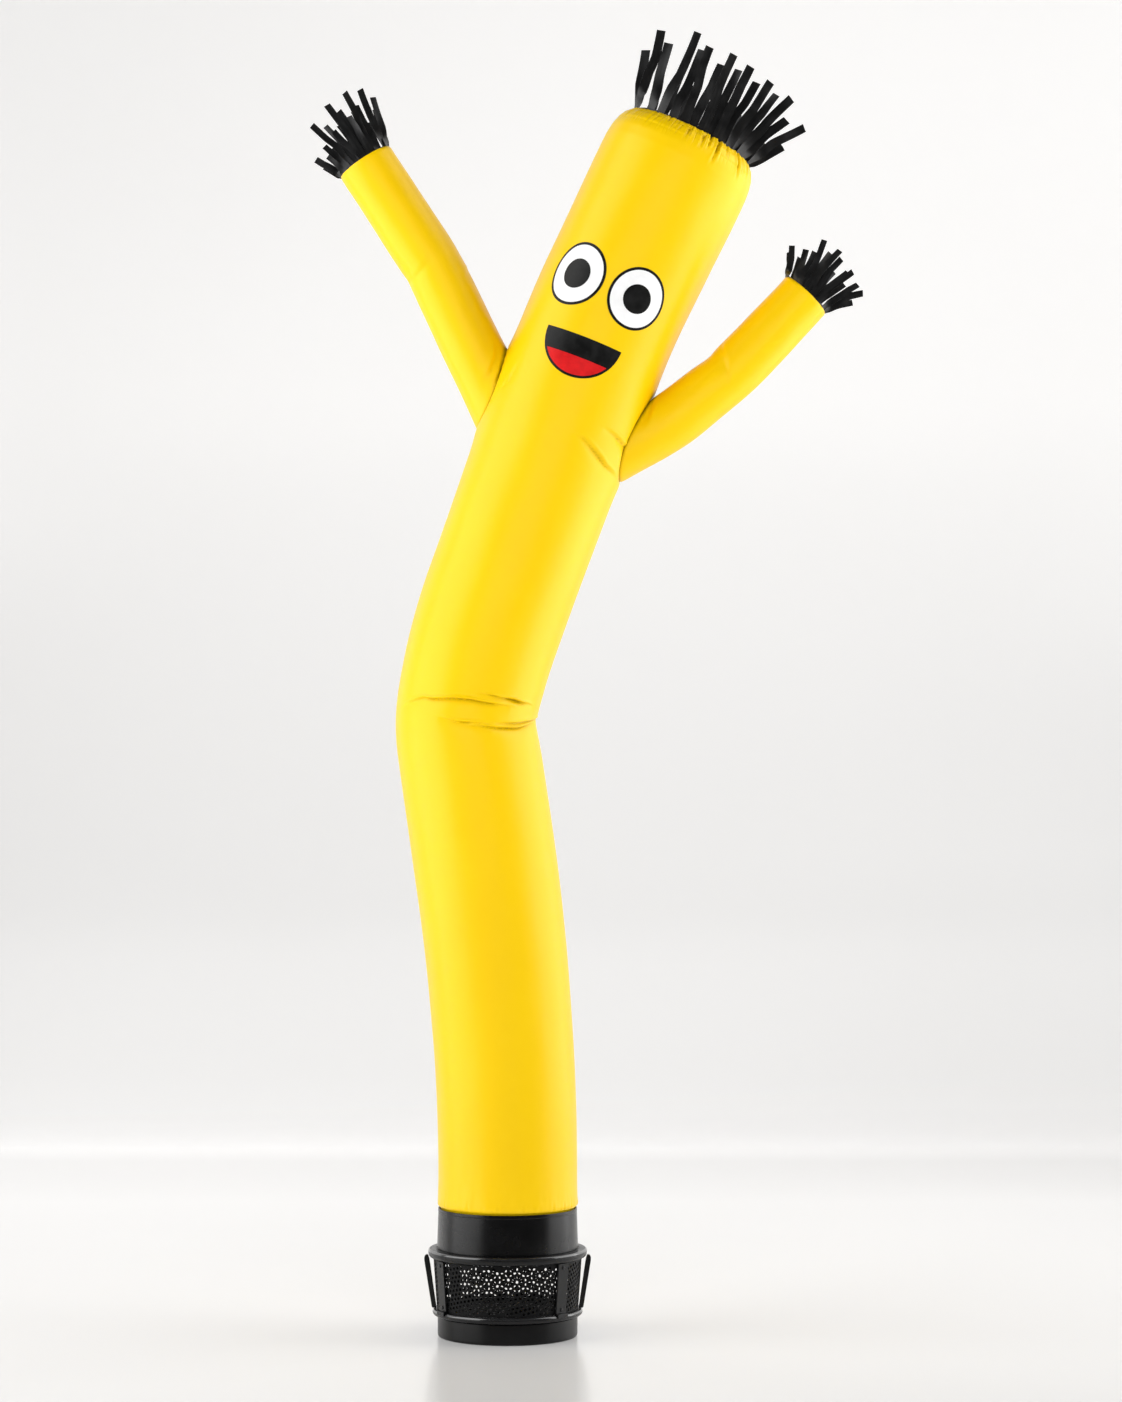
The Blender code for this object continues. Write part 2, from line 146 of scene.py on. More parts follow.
def wave_noise(a, b, seed, scale_a=1.0, scale_b=1.0, octaves=3):
    """Smooth seeded unevenness over an angle a and a length b, about -1 to 1, the same all the way round."""
    rng = np.random.default_rng(seed)
    total = np.zeros(np.broadcast(a, b).shape)
    weight = 0
    for o in range(octaves):
        for _ in range(5):
            ka = rng.integers(0, int(3 * scale_a * (o + 1)) + 1)
            kb = rng.uniform(-1, 1) * 9 * scale_b * (o + 1)
            total = total + np.sin(ka * a + kb * b + rng.uniform(0, 6.283)) / (o + 1)
            weight += 1 / (o + 1) ** 2
    return total / math.sqrt(weight) / 1.6


# ---------------------------------------------------------------- materials

RIM_MID, RIM_ALONG = (tuple(map(float, v[0])) for v in frames(BODY, [BODY[-1, 0]])[:2])


class Nodes:
    """A material's node tree, with short ways to add what this file uses."""

    def __init__(self, name):
        self.material = bpy.data.materials.new(name)
        self.material.use_nodes = True
        self.tree = self.material.node_tree
        self.shader = self.tree.nodes["Principled BSDF"]

    def add(self, kind, **inputs):
        node = self.tree.nodes.new(kind)
        for key, value in inputs.items():
            key = key.replace("_", " ")
            if key in node.inputs:
                socket = node.inputs[key]
                if isinstance(value, bpy.types.NodeSocket):
                    self.tree.links.new(value, socket)
                else:
                    socket.default_value = value
            else:
                setattr(node, key.replace(" ", "_"), value)
        return node

    def put(self, socket, key):
        self.tree.links.new(socket, self.shader.inputs[key])

    def fix(self, **values):
        for key, value in values.items():
            self.shader.inputs[key.replace("_", " ")].default_value = value

    def coords(self, kind="Object"):
        return self.add("ShaderNodeTexCoord").outputs[kind]

    def noise(self, vector, scale, detail=2.0, rough=0.5, distortion=0.0):
        return self.add("ShaderNodeTexNoise", Vector=vector, Scale=scale, Detail=detail, Roughness=rough, Distortion=distortion).outputs["Fac"]

    def ramp(self, fac, stops):
        node = self.add("ShaderNodeValToRGB")
        self.tree.links.new(fac, node.inputs["Fac"])
        els = node.color_ramp.elements
        while len(els) < len(stops):
            els.new(0.5)
        for el, (pos, colour) in zip(els, stops):
            el.position = pos
            el.color = (*colour, 1) if len(colour) == 3 else colour
        return node.outputs["Color"]

    def span(self, fac, low, high, to_low, to_high):
        node = self.add("ShaderNodeMapRange")
        self.tree.links.new(fac, node.inputs["Value"])
        for key, value in (("From Min", low), ("From Max", high), ("To Min", to_low), ("To Max", to_high)):
            node.inputs[key].default_value = value
        return node.outputs["Result"]

    def math(self, operation, a, b=0.5):
        node = self.tree.nodes.new("ShaderNodeMath")
        node.operation = operation
        for i, value in enumerate((a, b)):
            if isinstance(value, bpy.types.NodeSocket):
                self.tree.links.new(value, node.inputs[i])
            else:
                node.inputs[i].default_value = value
        return node.outputs[0]

    def bump(self, height, strength, distance, normal=None):
        node = self.add("ShaderNodeBump", Height=height, Strength=strength, Distance=distance)
        if normal is not None:
            self.tree.links.new(normal, node.inputs["Normal"])
        return node.outputs["Normal"]

    def weave(self, vector, pitch):
        """Threads over and under at this pitch, from a pair of wave textures across and along the cloth."""
        a = self.add("ShaderNodeTexWave", Vector=vector, Scale=0.314 / pitch)
        a.bands_direction = "X"
        b = self.add("ShaderNodeTexWave", Vector=vector, Scale=0.314 / pitch)
        b.bands_direction = "Y"
        return self.math("MULTIPLY", a.outputs["Fac"], b.outputs["Fac"])

    def rip_lines(self, vector, pitch, width):
        """Thin raised lines both ways, the grid of a ripstop cloth."""
        parts = self.add("ShaderNodeSeparateXYZ", Vector=vector)
        found = None
        for axis in ("X", "Y"):
            across = self.math("PINGPONG", parts.outputs[axis], pitch / 2)
            line = self.span(across, 0.0, width, 1.0, 0.0)
            found = line if found is None else self.math("MAXIMUM", found, line)
        return found


def coated_cloth(name, colours, rough=(0.30, 0.37), sheen=0.0, coat=0.0):
    n = Nodes(name)
    where, cloth = n.coords("Object"), n.coords("UV")
    broad = n.noise(where, 3.2, 2.0, 0.5)
    fine = n.noise(where, 38.0, 3.0, 0.55)
    plain = n.ramp(n.math("ADD", n.math("MULTIPLY", broad, 0.8), n.math("MULTIPLY", fine, 0.2)), [(0.30, colours[0]), (0.50, colours[1]), (0.70, colours[2])])
    # painted shade: an ambient-occlusion node darkens the base colour towards dark brown in creases, seams and gathers,
    # where shade falls
    crease_shade_ao = n.add("ShaderNodeAmbientOcclusion", Distance=0.014, samples=8)
    unshaded_share = n.span(crease_shade_ao.outputs["AO"], 0.30, 0.86, 0.0, 1.0)
    crease_shade_blend = n.add("ShaderNodeMix", data_type="RGBA")
    n.tree.links.new(unshaded_share, crease_shade_blend.inputs[0])
    # the dark brown that the painted crease shade blends towards
    crease_shade_blend.inputs[6].default_value = (0.48, 0.34, 0.0, 1)
    n.tree.links.new(plain, crease_shade_blend.inputs[7])
    n.put(crease_shade_blend.outputs[2], "Base Color")
    n.put(n.span(fine, 0.3, 0.7, rough[0], rough[1]), "Roughness")
    rip = n.rip_lines(cloth, 0.0052, 0.00045)
    threads = n.weave(cloth, 0.0009)
    soft = n.noise(where, 22.0, 2.0, 0.5)
    first = n.bump(soft, 0.12, 0.004)
    # fine gathers, too narrow for the mesh, in the last centimetres under the crown's rim
    from_rim = n.add("ShaderNodeVectorMath", operation="SUBTRACT")
    n.tree.links.new(where, from_rim.inputs[0])
    from_rim.inputs[1].default_value = RIM_MID
    under = n.add("ShaderNodeVectorMath", operation="DOT_PRODUCT")
    n.tree.links.new(from_rim.outputs[0], under.inputs[0])
    under.inputs[1].default_value = RIM_ALONG
    near_rim = n.span(under.outputs["Value"], -0.050, -0.014, 0.0, 1.0)
    drawn = n.add("ShaderNodeMapping", Vector=cloth)
    drawn.inputs["Scale"].default_value = (80.0, 6.0, 1.0)
    lines = n.noise(drawn.outputs["Vector"], 1.0, 1.5, 0.5, 0.25)
    ridge = n.span(n.math("ABSOLUTE", n.math("SUBTRACT", lines, 0.5)), 0.0, 0.060, 1.0, 0.0)
    first = n.bump(n.math("MULTIPLY", ridge, near_rim), 0.7, -0.0022, first)
    second = n.bump(rip, 0.18, 0.00025, first)
    n.put(n.bump(threads, 0.10, 0.0002, second), "Normal")
    n.fix(Sheen_Weight=sheen, Sheen_Roughness=0.4, Coat_Weight=coat, Coat_Roughness=0.3)
    n.fix(Specular_IOR_Level=0.28)
    return n.material


def strip_cloth(name):
    n = Nodes(name)
    where, cloth = n.coords("Object"), n.coords("UV")
    stretched = n.add("ShaderNodeMapping", Vector=cloth)
    stretched.inputs["Scale"].default_value = (260.0, 14.0, 1.0)
    streak = n.noise(stretched.outputs["Vector"], 1.0, 3.0, 0.6)
    cloudy = n.noise(where, 30.0, 2.0, 0.5)
    mix = n.math("ADD", n.math("MULTIPLY", streak, 0.5), n.math("MULTIPLY", cloudy, 0.5))
    n.put(n.ramp(mix, [(0.35, (0.0020, 0.0020, 0.0021)), (0.55, (0.0060, 0.0060, 0.0063)), (0.70, (0.0130, 0.0130, 0.0136))]), "Base Color")
    n.put(n.span(cloudy, 0.3, 0.7, 0.30, 0.50), "Roughness")
    n.put(n.bump(streak, 0.35, 0.0006, n.bump(cloudy, 0.3, 0.003)), "Normal")
    n.fix(Sheen_Weight=0.08)
    return n.material


def moulded(name, dark, light, rough=(0.34, 0.48), grain=900.0, depth=0.00012, scratches=0.0, metallic=0.0, coat=0.0, shine=0.5):
    """Moulded or powder-coated black: a fine grain, faint clouding and a little dust in its colour."""
    n = Nodes(name)
    where = n.coords("Object")
    cloudy = n.noise(where, 14.0, 3.0, 0.55)
    speck = n.noise(where, 260.0, 2.0, 0.6)
    n.put(n.ramp(n.math("ADD", n.math("MULTIPLY", cloudy, 0.75), n.math("MULTIPLY", speck, 0.25)), [(0.36, dark), (0.62, light)]), "Base Color")
    n.put(n.span(cloudy, 0.3, 0.7, rough[0], rough[1]), "Roughness")
    fine = n.noise(where, grain, 2.0, 0.5)
    normal = n.bump(fine, 0.25, depth)
    if scratches:
        turned = n.add("ShaderNodeMapping", Vector=where)
        turned.inputs["Scale"].default_value = (60.0, 60.0, 900.0)
        normal = n.bump(n.noise(turned.outputs["Vector"], 1.0, 2.0, 0.5), scratches, 0.00008, normal)
    n.put(normal, "Normal")
    n.fix(Metallic=metallic, Coat_Weight=coat, Coat_Roughness=0.25, Specular_IOR_Level=shine)
    return n.material


def printed(name, low, high, rough=0.45):
    n = Nodes(name)
    where, cloth = n.coords("Object"), n.coords("UV")
    fine = n.noise(where, 45.0, 3.0, 0.55)
    n.put(n.ramp(fine, [(0.35, low), (0.65, high)]), "Base Color")
    n.put(n.span(fine, 0.3, 0.7, rough - 0.06, rough + 0.06), "Roughness")
    rip = n.rip_lines(cloth, 0.0052, 0.00045)
    n.put(n.bump(rip, 0.15, 0.0002, n.bump(n.noise(where, 24.0, 2.0, 0.5), 0.1, 0.003)), "Normal")
    n.fix(Specular_IOR_Level=0.28)
    return n.material


YELLOW = coated_cloth("yellow_cloth_look", [(0.97, 0.615, 0.000), (0.98, 0.632, 0.000), (0.99, 0.650, 0.000)])
# painted shade: the dark brown of the thin tubes that stand for the shade in the sleeves' seams
SEAM_SHADE = printed("seam_shade_look", (0.20, 0.085, 0.0), (0.30, 0.135, 0.0), 0.7)
BLACK_STRIP = strip_cloth("black_strip_look")
PLASTIC = moulded("black_plastic_look", (0.0026, 0.0026, 0.0027), (0.0046, 0.0046, 0.0048), (0.23, 0.30), shine=0.36)
METAL = moulded("black_metal_look", (0.0036, 0.0036, 0.0038), (0.0064, 0.0064, 0.0068), (0.24, 0.32), 700.0, 0.00018, 0.08, shine=0.30)
# painted highlight: a lighter, glossier black for the bands' top edges, so that a bright line shows along them
EDGE_HIGHLIGHT_METAL = moulded("edge_highlight_look", (0.0080, 0.0080, 0.0084), (0.0170, 0.0170, 0.0180), (0.12, 0.18), 700.0, 0.0001, 0.05, coat=0.6, shine=1.0)
MESH_METAL = moulded("grille_look", (0.0034, 0.0034, 0.0035), (0.0070, 0.0070, 0.0073), (0.42, 0.55), 700.0, 0.0001, shine=0.12)
CAN_PLASTIC = moulded("base_can_look", (0.0026, 0.0026, 0.0027), (0.0046, 0.0046, 0.0048), (0.30, 0.38), shine=0.20)
SCREW = moulded("screw_look", (0.02, 0.02, 0.021), (0.05, 0.05, 0.052), (0.25, 0.4), 900.0, 0.0001, 0.2, 0.8)
WHITE_PRINT = printed("white_print_look", (0.90, 0.90, 0.90), (0.96, 0.96, 0.96))
BLACK_PRINT = printed("black_print_look", (0.004, 0.004, 0.004), (0.011, 0.011, 0.011))
RED_PRINT = printed("red_print_look", (0.60, 0.002, 0.004), (0.74, 0.006, 0.008))

# ---------------------------------------------------------------- the body's cloth

THICK = 0.0012  # the shown cloth: thicker than real, so that it renders and exports as a closed sheet
TOP = BODY[-1, 0]
TOP_ALONG = frames(BODY, [TOP])[1][0]


def body_radius(z):
    r = smooth(BODY, z, 3)
    r = np.where(z < FOOT[-1, 0], np.interp(z, FOOT[:, 0], FOOT[:, 1]), r)
    below = (TOP - z) / TOP_ALONG[2]
    return r * np.interp(below, CROWN[:, 0], CROWN[:, 1])


# Creases. Each line runs over places (azimuth in degrees, height in metres: the cloth's own on the body, the middle line's on a sleeve).
# deep: how far the line sinks, above and below: how wide its upper and its lower side are, lip: how far the upper side stands proud.
CREASES = [
    # places, deep, above, below, lip
    ([(-147, 1.4095), (-139, 1.4168), (-128, 1.4250), (-118, 1.4225), (-101, 1.4244), (-88, 1.4211), (-76, 1.4139), (-65, 1.4095), (-51, 1.4040)], 0.0092, 0.0036, 0.014, 0.0036),
    ([(-82, 1.4370), (-72, 1.4304), (-63, 1.4249), (-43, 1.4150), (-29, 1.4073)], 0.0055, 0.0032, 0.009, 0.0036),
    ([(-60, 1.4270), (-51, 1.4215), (-44, 1.4150), (-36, 1.4085)], 0.0056, 0.0030, 0.006, 0.0030),
    ([(-112, 1.3860), (-104, 1.3790), (-96, 1.3728), (-80, 1.3699), (-68, 1.3660)], 0.0062, 0.0036, 0.012, 0.0020),
    ([(-84, 1.3660), (-62, 1.3589), (-41, 1.3574), (-26, 1.3633), (-10, 1.3690)], 0.0086, 0.0038, 0.011, 0.0028),
    ([(-66, 1.3690), (-44, 1.3680), (-24, 1.3720), (-6, 1.3760), (12, 1.3800)], 0.0062, 0.0038, 0.011, 0.0018),
    ([(-78, 2.0010), (-70, 1.9930), (-58, 1.9694), (-42, 1.9364), (-24, 1.9130)], 0.0084, 0.0042, 0.011, 0.0032),
    ([(-58, 2.0180), (-50, 2.0090), (-30, 1.9826), (-14, 1.9640)], 0.0070, 0.0042, 0.010, 0.0028),
    ([(-153, 2.110), (-147, 2.130), (-142, 2.160)], 0.0028, 0.006, 0.009, 0.0014),
    ([(20, 1.930), (34, 1.915), (52, 1.905)], 0.0034, 0.007, 0.011, 0.0018),
    ([(128, 2.090), (142, 2.110), (156, 2.140)], 0.0030, 0.007, 0.011, 0.0016),
    ([(70, 1.394), (96, 1.404), (120, 1.410)], 0.0034, 0.007, 0.013, 0.0018),
]

# Gathers under the crown's rim. az: degrees, long: metres, deep: metres, wide: metres.
GATHERS = [
    # az, long, deep, wide
    (-155, 0.034, 0.0016, 0.0060), (-127, 0.036, 0.0016, 0.0060), (-92, 0.040, 0.0026, 0.0055), (-79, 0.044, 0.0030, 0.0055),
    (-72, 0.040, 0.0026, 0.0048), (-64, 0.062, 0.0042, 0.0058), (-55, 0.030, 0.0022, 0.0048), (-42, 0.058, 0.0044, 0.0060),
    (-33, 0.034, 0.0022, 0.0050), (-26, 0.044, 0.0028, 0.0055), (-12, 0.040, 0.0026, 0.0055), (4, 0.048, 0.0030, 0.0060),
    (19, 0.036, 0.0024, 0.0055), (38, 0.050, 0.0032, 0.0060), (57, 0.040, 0.0026, 0.0055), (74, 0.034, 0.0022, 0.0055),
    (95, 0.050, 0.0030, 0.0060), (113, 0.036, 0.0022, 0.0055), (131, 0.044, 0.0028, 0.0058), (150, 0.036, 0.0020, 0.0055),
    (170, 0.038, 0.0022, 0.0058), (-168, 0.030, 0.0016, 0.0055), (-142, 0.028, 0.0014, 0.0050), (-112, 0.030, 0.0016, 0.0050),
]


# Tucks above the collar. az: degrees, tall: metres, deep: metres.
TUCKS = [
    # az, tall, deep
    (-152, 0.020, 0.0016), (-124, 0.024, 0.0020), (-110, 0.014, 0.0012), (-97, 0.020, 0.0018), (-77, 0.022, 0.0020), (-62, 0.014, 0.0012), (-49, 0.026, 0.0022),
    (-36, 0.020, 0.0020), (-25, 0.028, 0.0022), (-5, 0.018, 0.0016), (16, 0.024, 0.0018), (41, 0.020, 0.0020), (66, 0.026, 0.0018), (92, 0.018, 0.0016),
    (118, 0.024, 0.0020), (140, 0.020, 0.0016), (163, 0.026, 0.0018), (-171, 0.018, 0.0016),
]


def crease_height(azimuth, z, radius, creases):
    """How far the cloth stands out, from the table of creases, at places on the tube."""
    total = np.zeros(np.broadcast(azimuth, z).shape)
    for places, deep, above, below, lip in creases:
        pts = np.array(places, float)
        mid = pts[:, 0].mean()
        turn = (azimuth - mid + 180) % 360 - 180
        u, v = np.radians(turn) * radius, z + 0 * azimuth
        pu, pv = np.radians(pts[:, 0] - mid) * np.mean(radius), pts[:, 1]
        near = (np.abs(u) < np.abs(pu).max() + 0.06) & (np.abs(v - pv.mean()) < np.ptp(pv) / 2 + 0.09)
        if not near.any():
            continue
        un, vn = u[near], v[near]
        best = np.full(un.shape, 9.0)
        side = np.zeros(un.shape)
        place = np.zeros(un.shape)
        lengths = np.hypot(np.diff(pu), np.diff(pv))
        start = np.concatenate([[0], np.cumsum(lengths)])
        for k in range(len(pu) - 1):
            du, dv = pu[k + 1] - pu[k], pv[k + 1] - pv[k]
            t = ((un - pu[k]) * du + (vn - pv[k]) * dv) / (lengths[k] ** 2)
            tc = np.clip(t, 0, 1)
            far = np.hypot(un - pu[k] - tc * du, vn - pv[k] - tc * dv)
            better = far < best
            best = np.where(better, far, best)
            cross = du * (vn - pv[k]) - dv * (un - pu[k])
            side = np.where(better, np.sign(cross), side)
            place = np.where(better, (start[k] + tc * lengths[k]) / start[-1], place)
        d = best * side
        strength = np.sin(math.pi * np.clip(place, 0.02, 0.98)) ** 0.7
        upper = -np.exp(-np.abs(d / (above * 0.45)) ** 1.2) * deep + lip * np.exp(-(((d - above) / (above * 0.8)) ** 2))
        lower = -np.exp(-np.abs(d / below) ** 1.1) * deep
        total[near] += np.where(d > 0, upper, lower) * strength
    return total


def gather_height(azimuth, below, radius):
    total = np.zeros(np.broadcast(azimuth, below).shape)
    for az, long, deep, wide in GATHERS * np.array([1, 1, 1.4, 0.9]):
        turn = np.radians((azimuth - az + 180) % 360 - 180)
        u = turn * radius - 0.16 * below * math.sin(az * 7.0)
        fade = np.clip(1 - below / long, 0, 1) ** 0.9 * np.clip((below + 0.006) / 0.008, 0, 1)
        total += deep * fade * (-1.9 * np.exp(-np.abs(u / (0.55 * wide)) ** 1.4) + 0.9 * np.exp(-(((np.abs(u) - 1.25 * wide) / (0.7 * wide)) ** 2)))
    return total


def tuck_height(azimuth, z, radius):
    total = np.zeros(np.broadcast(azimuth, z).shape)
    for az, tall, deep in TUCKS:
        u = np.radians((azimuth - az + 180) % 360 - 180) * radius
        fade = np.clip(1 - (z - 0.2945) / tall, 0, 1) ** 1.2 * ease(z, 0.2900, 0.2950)
        total += deep * fade * (-np.exp(-np.abs(u / 0.0026) ** 1.5) + 0.45 * np.exp(-(((np.abs(u) - 0.0056) / 0.003) ** 2)))
    return total


def arm_distance(points, table):
    """Each point's distance from the arm's middle line, less the arm's radius there."""
    z = np.linspace(table[0, 0], table[-1, 0], 60)
    mids = np.stack([smooth(table, z, 1), smooth(table, z, 2), z], 1)
    radii = smooth(table, z, 3)
    best = np.full(len(points), 9.0)
    for k in range(len(z) - 1):
        d = mids[k + 1] - mids[k]
        t = np.clip(((points - mids[k]) @ d) / (d @ d), 0, 1)
        far = np.linalg.norm(points - mids[k] - t[:, None] * d, axis=1) - (radii[k] + t * (radii[k + 1] - radii[k]))
        best = np.minimum(best, far)
    return best


def body_rows():
    runs = [(0.262, 0.300, 14), (0.300, 0.340, 12), (0.340, 0.420, 6), (0.420, 1.300, 30), (1.300, 1.340, 6), (1.340, 1.450, 70), (1.450, 1.860, 17), (1.860, 2.060, 54), (2.060, 2.560, 30)]
    rows = [runs[0][0]]
    for a, b, n in runs:
        rows += list(a + (b - a) * (np.arange(n) + 1) / n)
    last = TOP - CROWN[-1, 0] * TOP_ALONG[2]
    rows = [z for z in rows if z < last - 0.004]
    below = np.concatenate([np.linspace(0.100, 0.036, 17), np.linspace(0.0335, 0.0, 17)])
    return np.array(rows + [TOP - b * TOP_ALONG[2] for b in below])


def body_surface(z, azimuth, lift=0.0, folds=True):
    """Places on the body's outer face: z and azimuth are arrays of one shape. Returns points and outward normals of the plain tube."""
    shape = np.broadcast(z, azimuth).shape
    z = np.broadcast_to(z, shape).ravel()
    azimuth = np.broadcast_to(azimuth, shape).ravel()
    point, along, right, back = frames(BODY, z)
    r = body_radius(z)
    step = 0.0015
    slope = (body_radius(np.minimum(z + step, TOP)) - body_radius(np.maximum(z - step, BODY[0, 0]))) / (2 * step) * along[:, 2]
    turn = np.radians(azimuth)
    out = np.cos(turn)[:, None] * right + np.sin(turn)[:, None] * back
    normal = unit(out - slope[:, None] * along)
    plain = point + r[:, None] * out
    h = np.zeros(len(z))
    if folds:
        below = (TOP - z) / TOP_ALONG[2]
        h += crease_height(azimuth, plain[:, 2], r, CREASES)
        h += gather_height(azimuth, below, r)
        # a shallow stitched channel holds the crown's elastic
        h -= 0.0009 * np.exp(-(((below - 0.0315) / 0.0022) ** 2)) * (0.6 + 0.4 * np.cos(turn * 90))
        h -= 0.0006 * np.exp(-(((below - 0.0090) / 0.0018) ** 2))
        # the tube's slow unevenness, less at its foot and crown
        quiet = ease(z, 0.36, 0.60) * (1 - ease(below, 0.16, 0.05))
        h += 0.0014 * wave_noise(turn, z, 5, 1.0, 1.2) * quiet
        # tucks where the foot is drawn into the collar
        foot = np.exp(-np.abs(z - 0.2990) / 0.010) * (z > 0.288)
        h += 0.0012 * wave_noise(turn, 0 * z, 12, 9.0, 0.0) * foot - 0.0007 * np.clip(wave_noise(turn, 0 * z, 19, 14.0, 0.0), 0, 1) * np.exp(-np.abs(z - 0.318) / 0.02) * (z > 0.288)
        h += tuck_height(azimuth, z, r)
        for table, proud in ((ARM_LEFT, 0.0080), (ARM_RIGHT, 0.0046)):
            near = arm_distance(plain, table)
            h += (proud * np.exp(-np.clip(near, 0, 1) / 0.018) - (proud + 0.0020) * np.exp(-np.clip(near, 0, 1) / 0.0034)) * ease(near, -0.012, -0.001)
    placed = plain + normal * (h + lift)[:, None]
    return placed.reshape(*shape, 3), normal.reshape(*shape, 3), h.reshape(shape)


def cloth_tube(name, outer, inner, uv_outer, uv_inner, material):
    """One closed sheet from an outer grid of points and a coarser inner grid, joined at both rims. The outer has a whole number of columns to each inner one."""
    rows, cols = outer.shape[:2]
    irows, icols = inner.shape[:2]
    verts = np.concatenate([outer.reshape(-1, 3), inner.reshape(-1, 3)])
    uv = np.concatenate([uv_outer.reshape(-1, 2), uv_inner.reshape(-1, 2)])
    base = rows * cols
    faces = [*grid_faces(rows, cols).tolist(), *grid_faces(irows, icols, base, flip=True).tolist()]
    per = cols // icols
    for orow, irow, turned in ((0, 0, True), (rows - 1, irows - 1, False)):
        for k in range(icols):
            here, there = base + irow * icols + k, base + irow * icols + (k + 1) % icols
            ring = [orow * cols + (k * per + i) % cols for i in range(per + 1)]
            half = per // 2
            for i in range(per):
                tri = [ring[i], ring[i + 1], here if i < half else there]
                faces.append(tri[::-1] if turned else tri)
            tri = [here, ring[half], there]
            faces.append(tri[::-1] if turned else tri)
    return make(name, verts, faces, material, uv, angle=75)


def inner_face(outer, normal, h, keep_rows, every):
    """The coarser inner face of a tube's cloth. It stays under the lowest of the outer face's nearby folds, except at the rim."""
    lowest = h.copy()
    for dr in range(-3, 4):
        rows = np.clip(np.arange(len(h)) + dr, 0, len(h) - 1)
        for dc in range(-every, every + 1):
            lowest = np.minimum(lowest, np.roll(h[rows], dc, axis=1))
    lowest[-4:] = h[-4:]
    inner = outer + normal * (lowest - h - THICK)[..., None]
    return inner[keep_rows][:, ::every]


COLS, INNER_COLS = 320, 80
zs = body_rows()
az = np.degrees(2 * math.pi * np.arange(COLS) / COLS)
outer, outward, folds_at = body_surface(zs[:, None], az[None, :])
keep = [0, *range(1, len(zs) - 1, 3), len(zs) - 1]
izs, iaz = zs[keep], az[:: COLS // INNER_COLS]
inner = inner_face(outer, outward, folds_at, keep, COLS // INNER_COLS)
steps = np.linalg.norm(np.diff(outer[:, 0], axis=0), axis=1)
length_at = np.concatenate([[0], np.cumsum(steps)])


def body_uv(z, azimuth):
    v = np.interp(z, zs, length_at)
    return np.stack(np.broadcast_arrays(np.radians(azimuth) * 0.16, v), -1)


body = cloth_tube("body_cloth", outer, inner, body_uv(zs[:, None], az[None, :]), body_uv(izs[:, None], iaz[None, :]), YELLOW)
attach(body, "root")
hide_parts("body")

# ---------------------------------------------------------------- sleeves

# Creases on the sleeves, as on the body.
LEFT_CREASES = [
    ([(-150, 2.372), (-128, 2.382), (-104, 2.390), (-84, 2.396)], 0.0022, 0.006, 0.009, 0.0012),
    ([(-176, 2.372), (-160, 2.378), (-140, 2.382)], 0.0020, 0.006, 0.008, 0.0010),
    ([(-40, 2.330), (-20, 2.345), (10, 2.352)], 0.0014, 0.006, 0.009, 0.0008),
    ([(-100, 2.128), (-80, 2.140), (-56, 2.162), (-40, 2.190)], 0.0034, 0.006, 0.010, 0.0018),
    ([(-84, 2.112), (-62, 2.130), (-44, 2.150)], 0.0028, 0.006, 0.009, 0.0014),
    ([(60, 2.150), (90, 2.160), (120, 2.150)], 0.0024, 0.007, 0.010, 0.0012),
    ([(60, 2.380), (90, 2.388), (130, 2.380)], 0.0018, 0.006, 0.009, 0.0010),
]
RIGHT_CREASES = [
    ([(-138, 2.158), (-116, 2.146), (-94, 2.134), (-70, 2.122)], 0.0022, 0.006, 0.009, 0.0012),
    ([(-170, 2.168), (-150, 2.160), (-130, 2.150)], 0.0018, 0.006, 0.008, 0.0010),
    ([(-150, 2.030), (-128, 2.018), (-110, 2.006)], 0.0030, 0.007, 0.010, 0.0014),
    ([(60, 2.140), (90, 2.134), (126, 2.146)], 0.0018, 0.006, 0.009, 0.0010),
    ([(70, 2.020), (100, 2.014), (140, 2.026)], 0.0024, 0.007, 0.010, 0.0012),
]


def inside_body(points):
    """How deep each point is under the body's plain surface, in metres, less than 0 outside it."""
    z = np.linspace(1.60, 2.60, 160)
    mids = np.stack([smooth(BODY, z, 1), smooth(BODY, z, 2), z], 1)
    radii = smooth(BODY, z, 3)
    best = np.full(len(points), -9.0)
    for k in range(len(z) - 1):
        d = mids[k + 1] - mids[k]
        t = np.clip(((points - mids[k]) @ d) / (d @ d), 0, 1)
        deep = (radii[k] + t * (radii[k + 1] - radii[k])) - np.linalg.norm(points - mids[k] - t[:, None] * d, axis=1)
        best = np.maximum(best, deep)
    return best


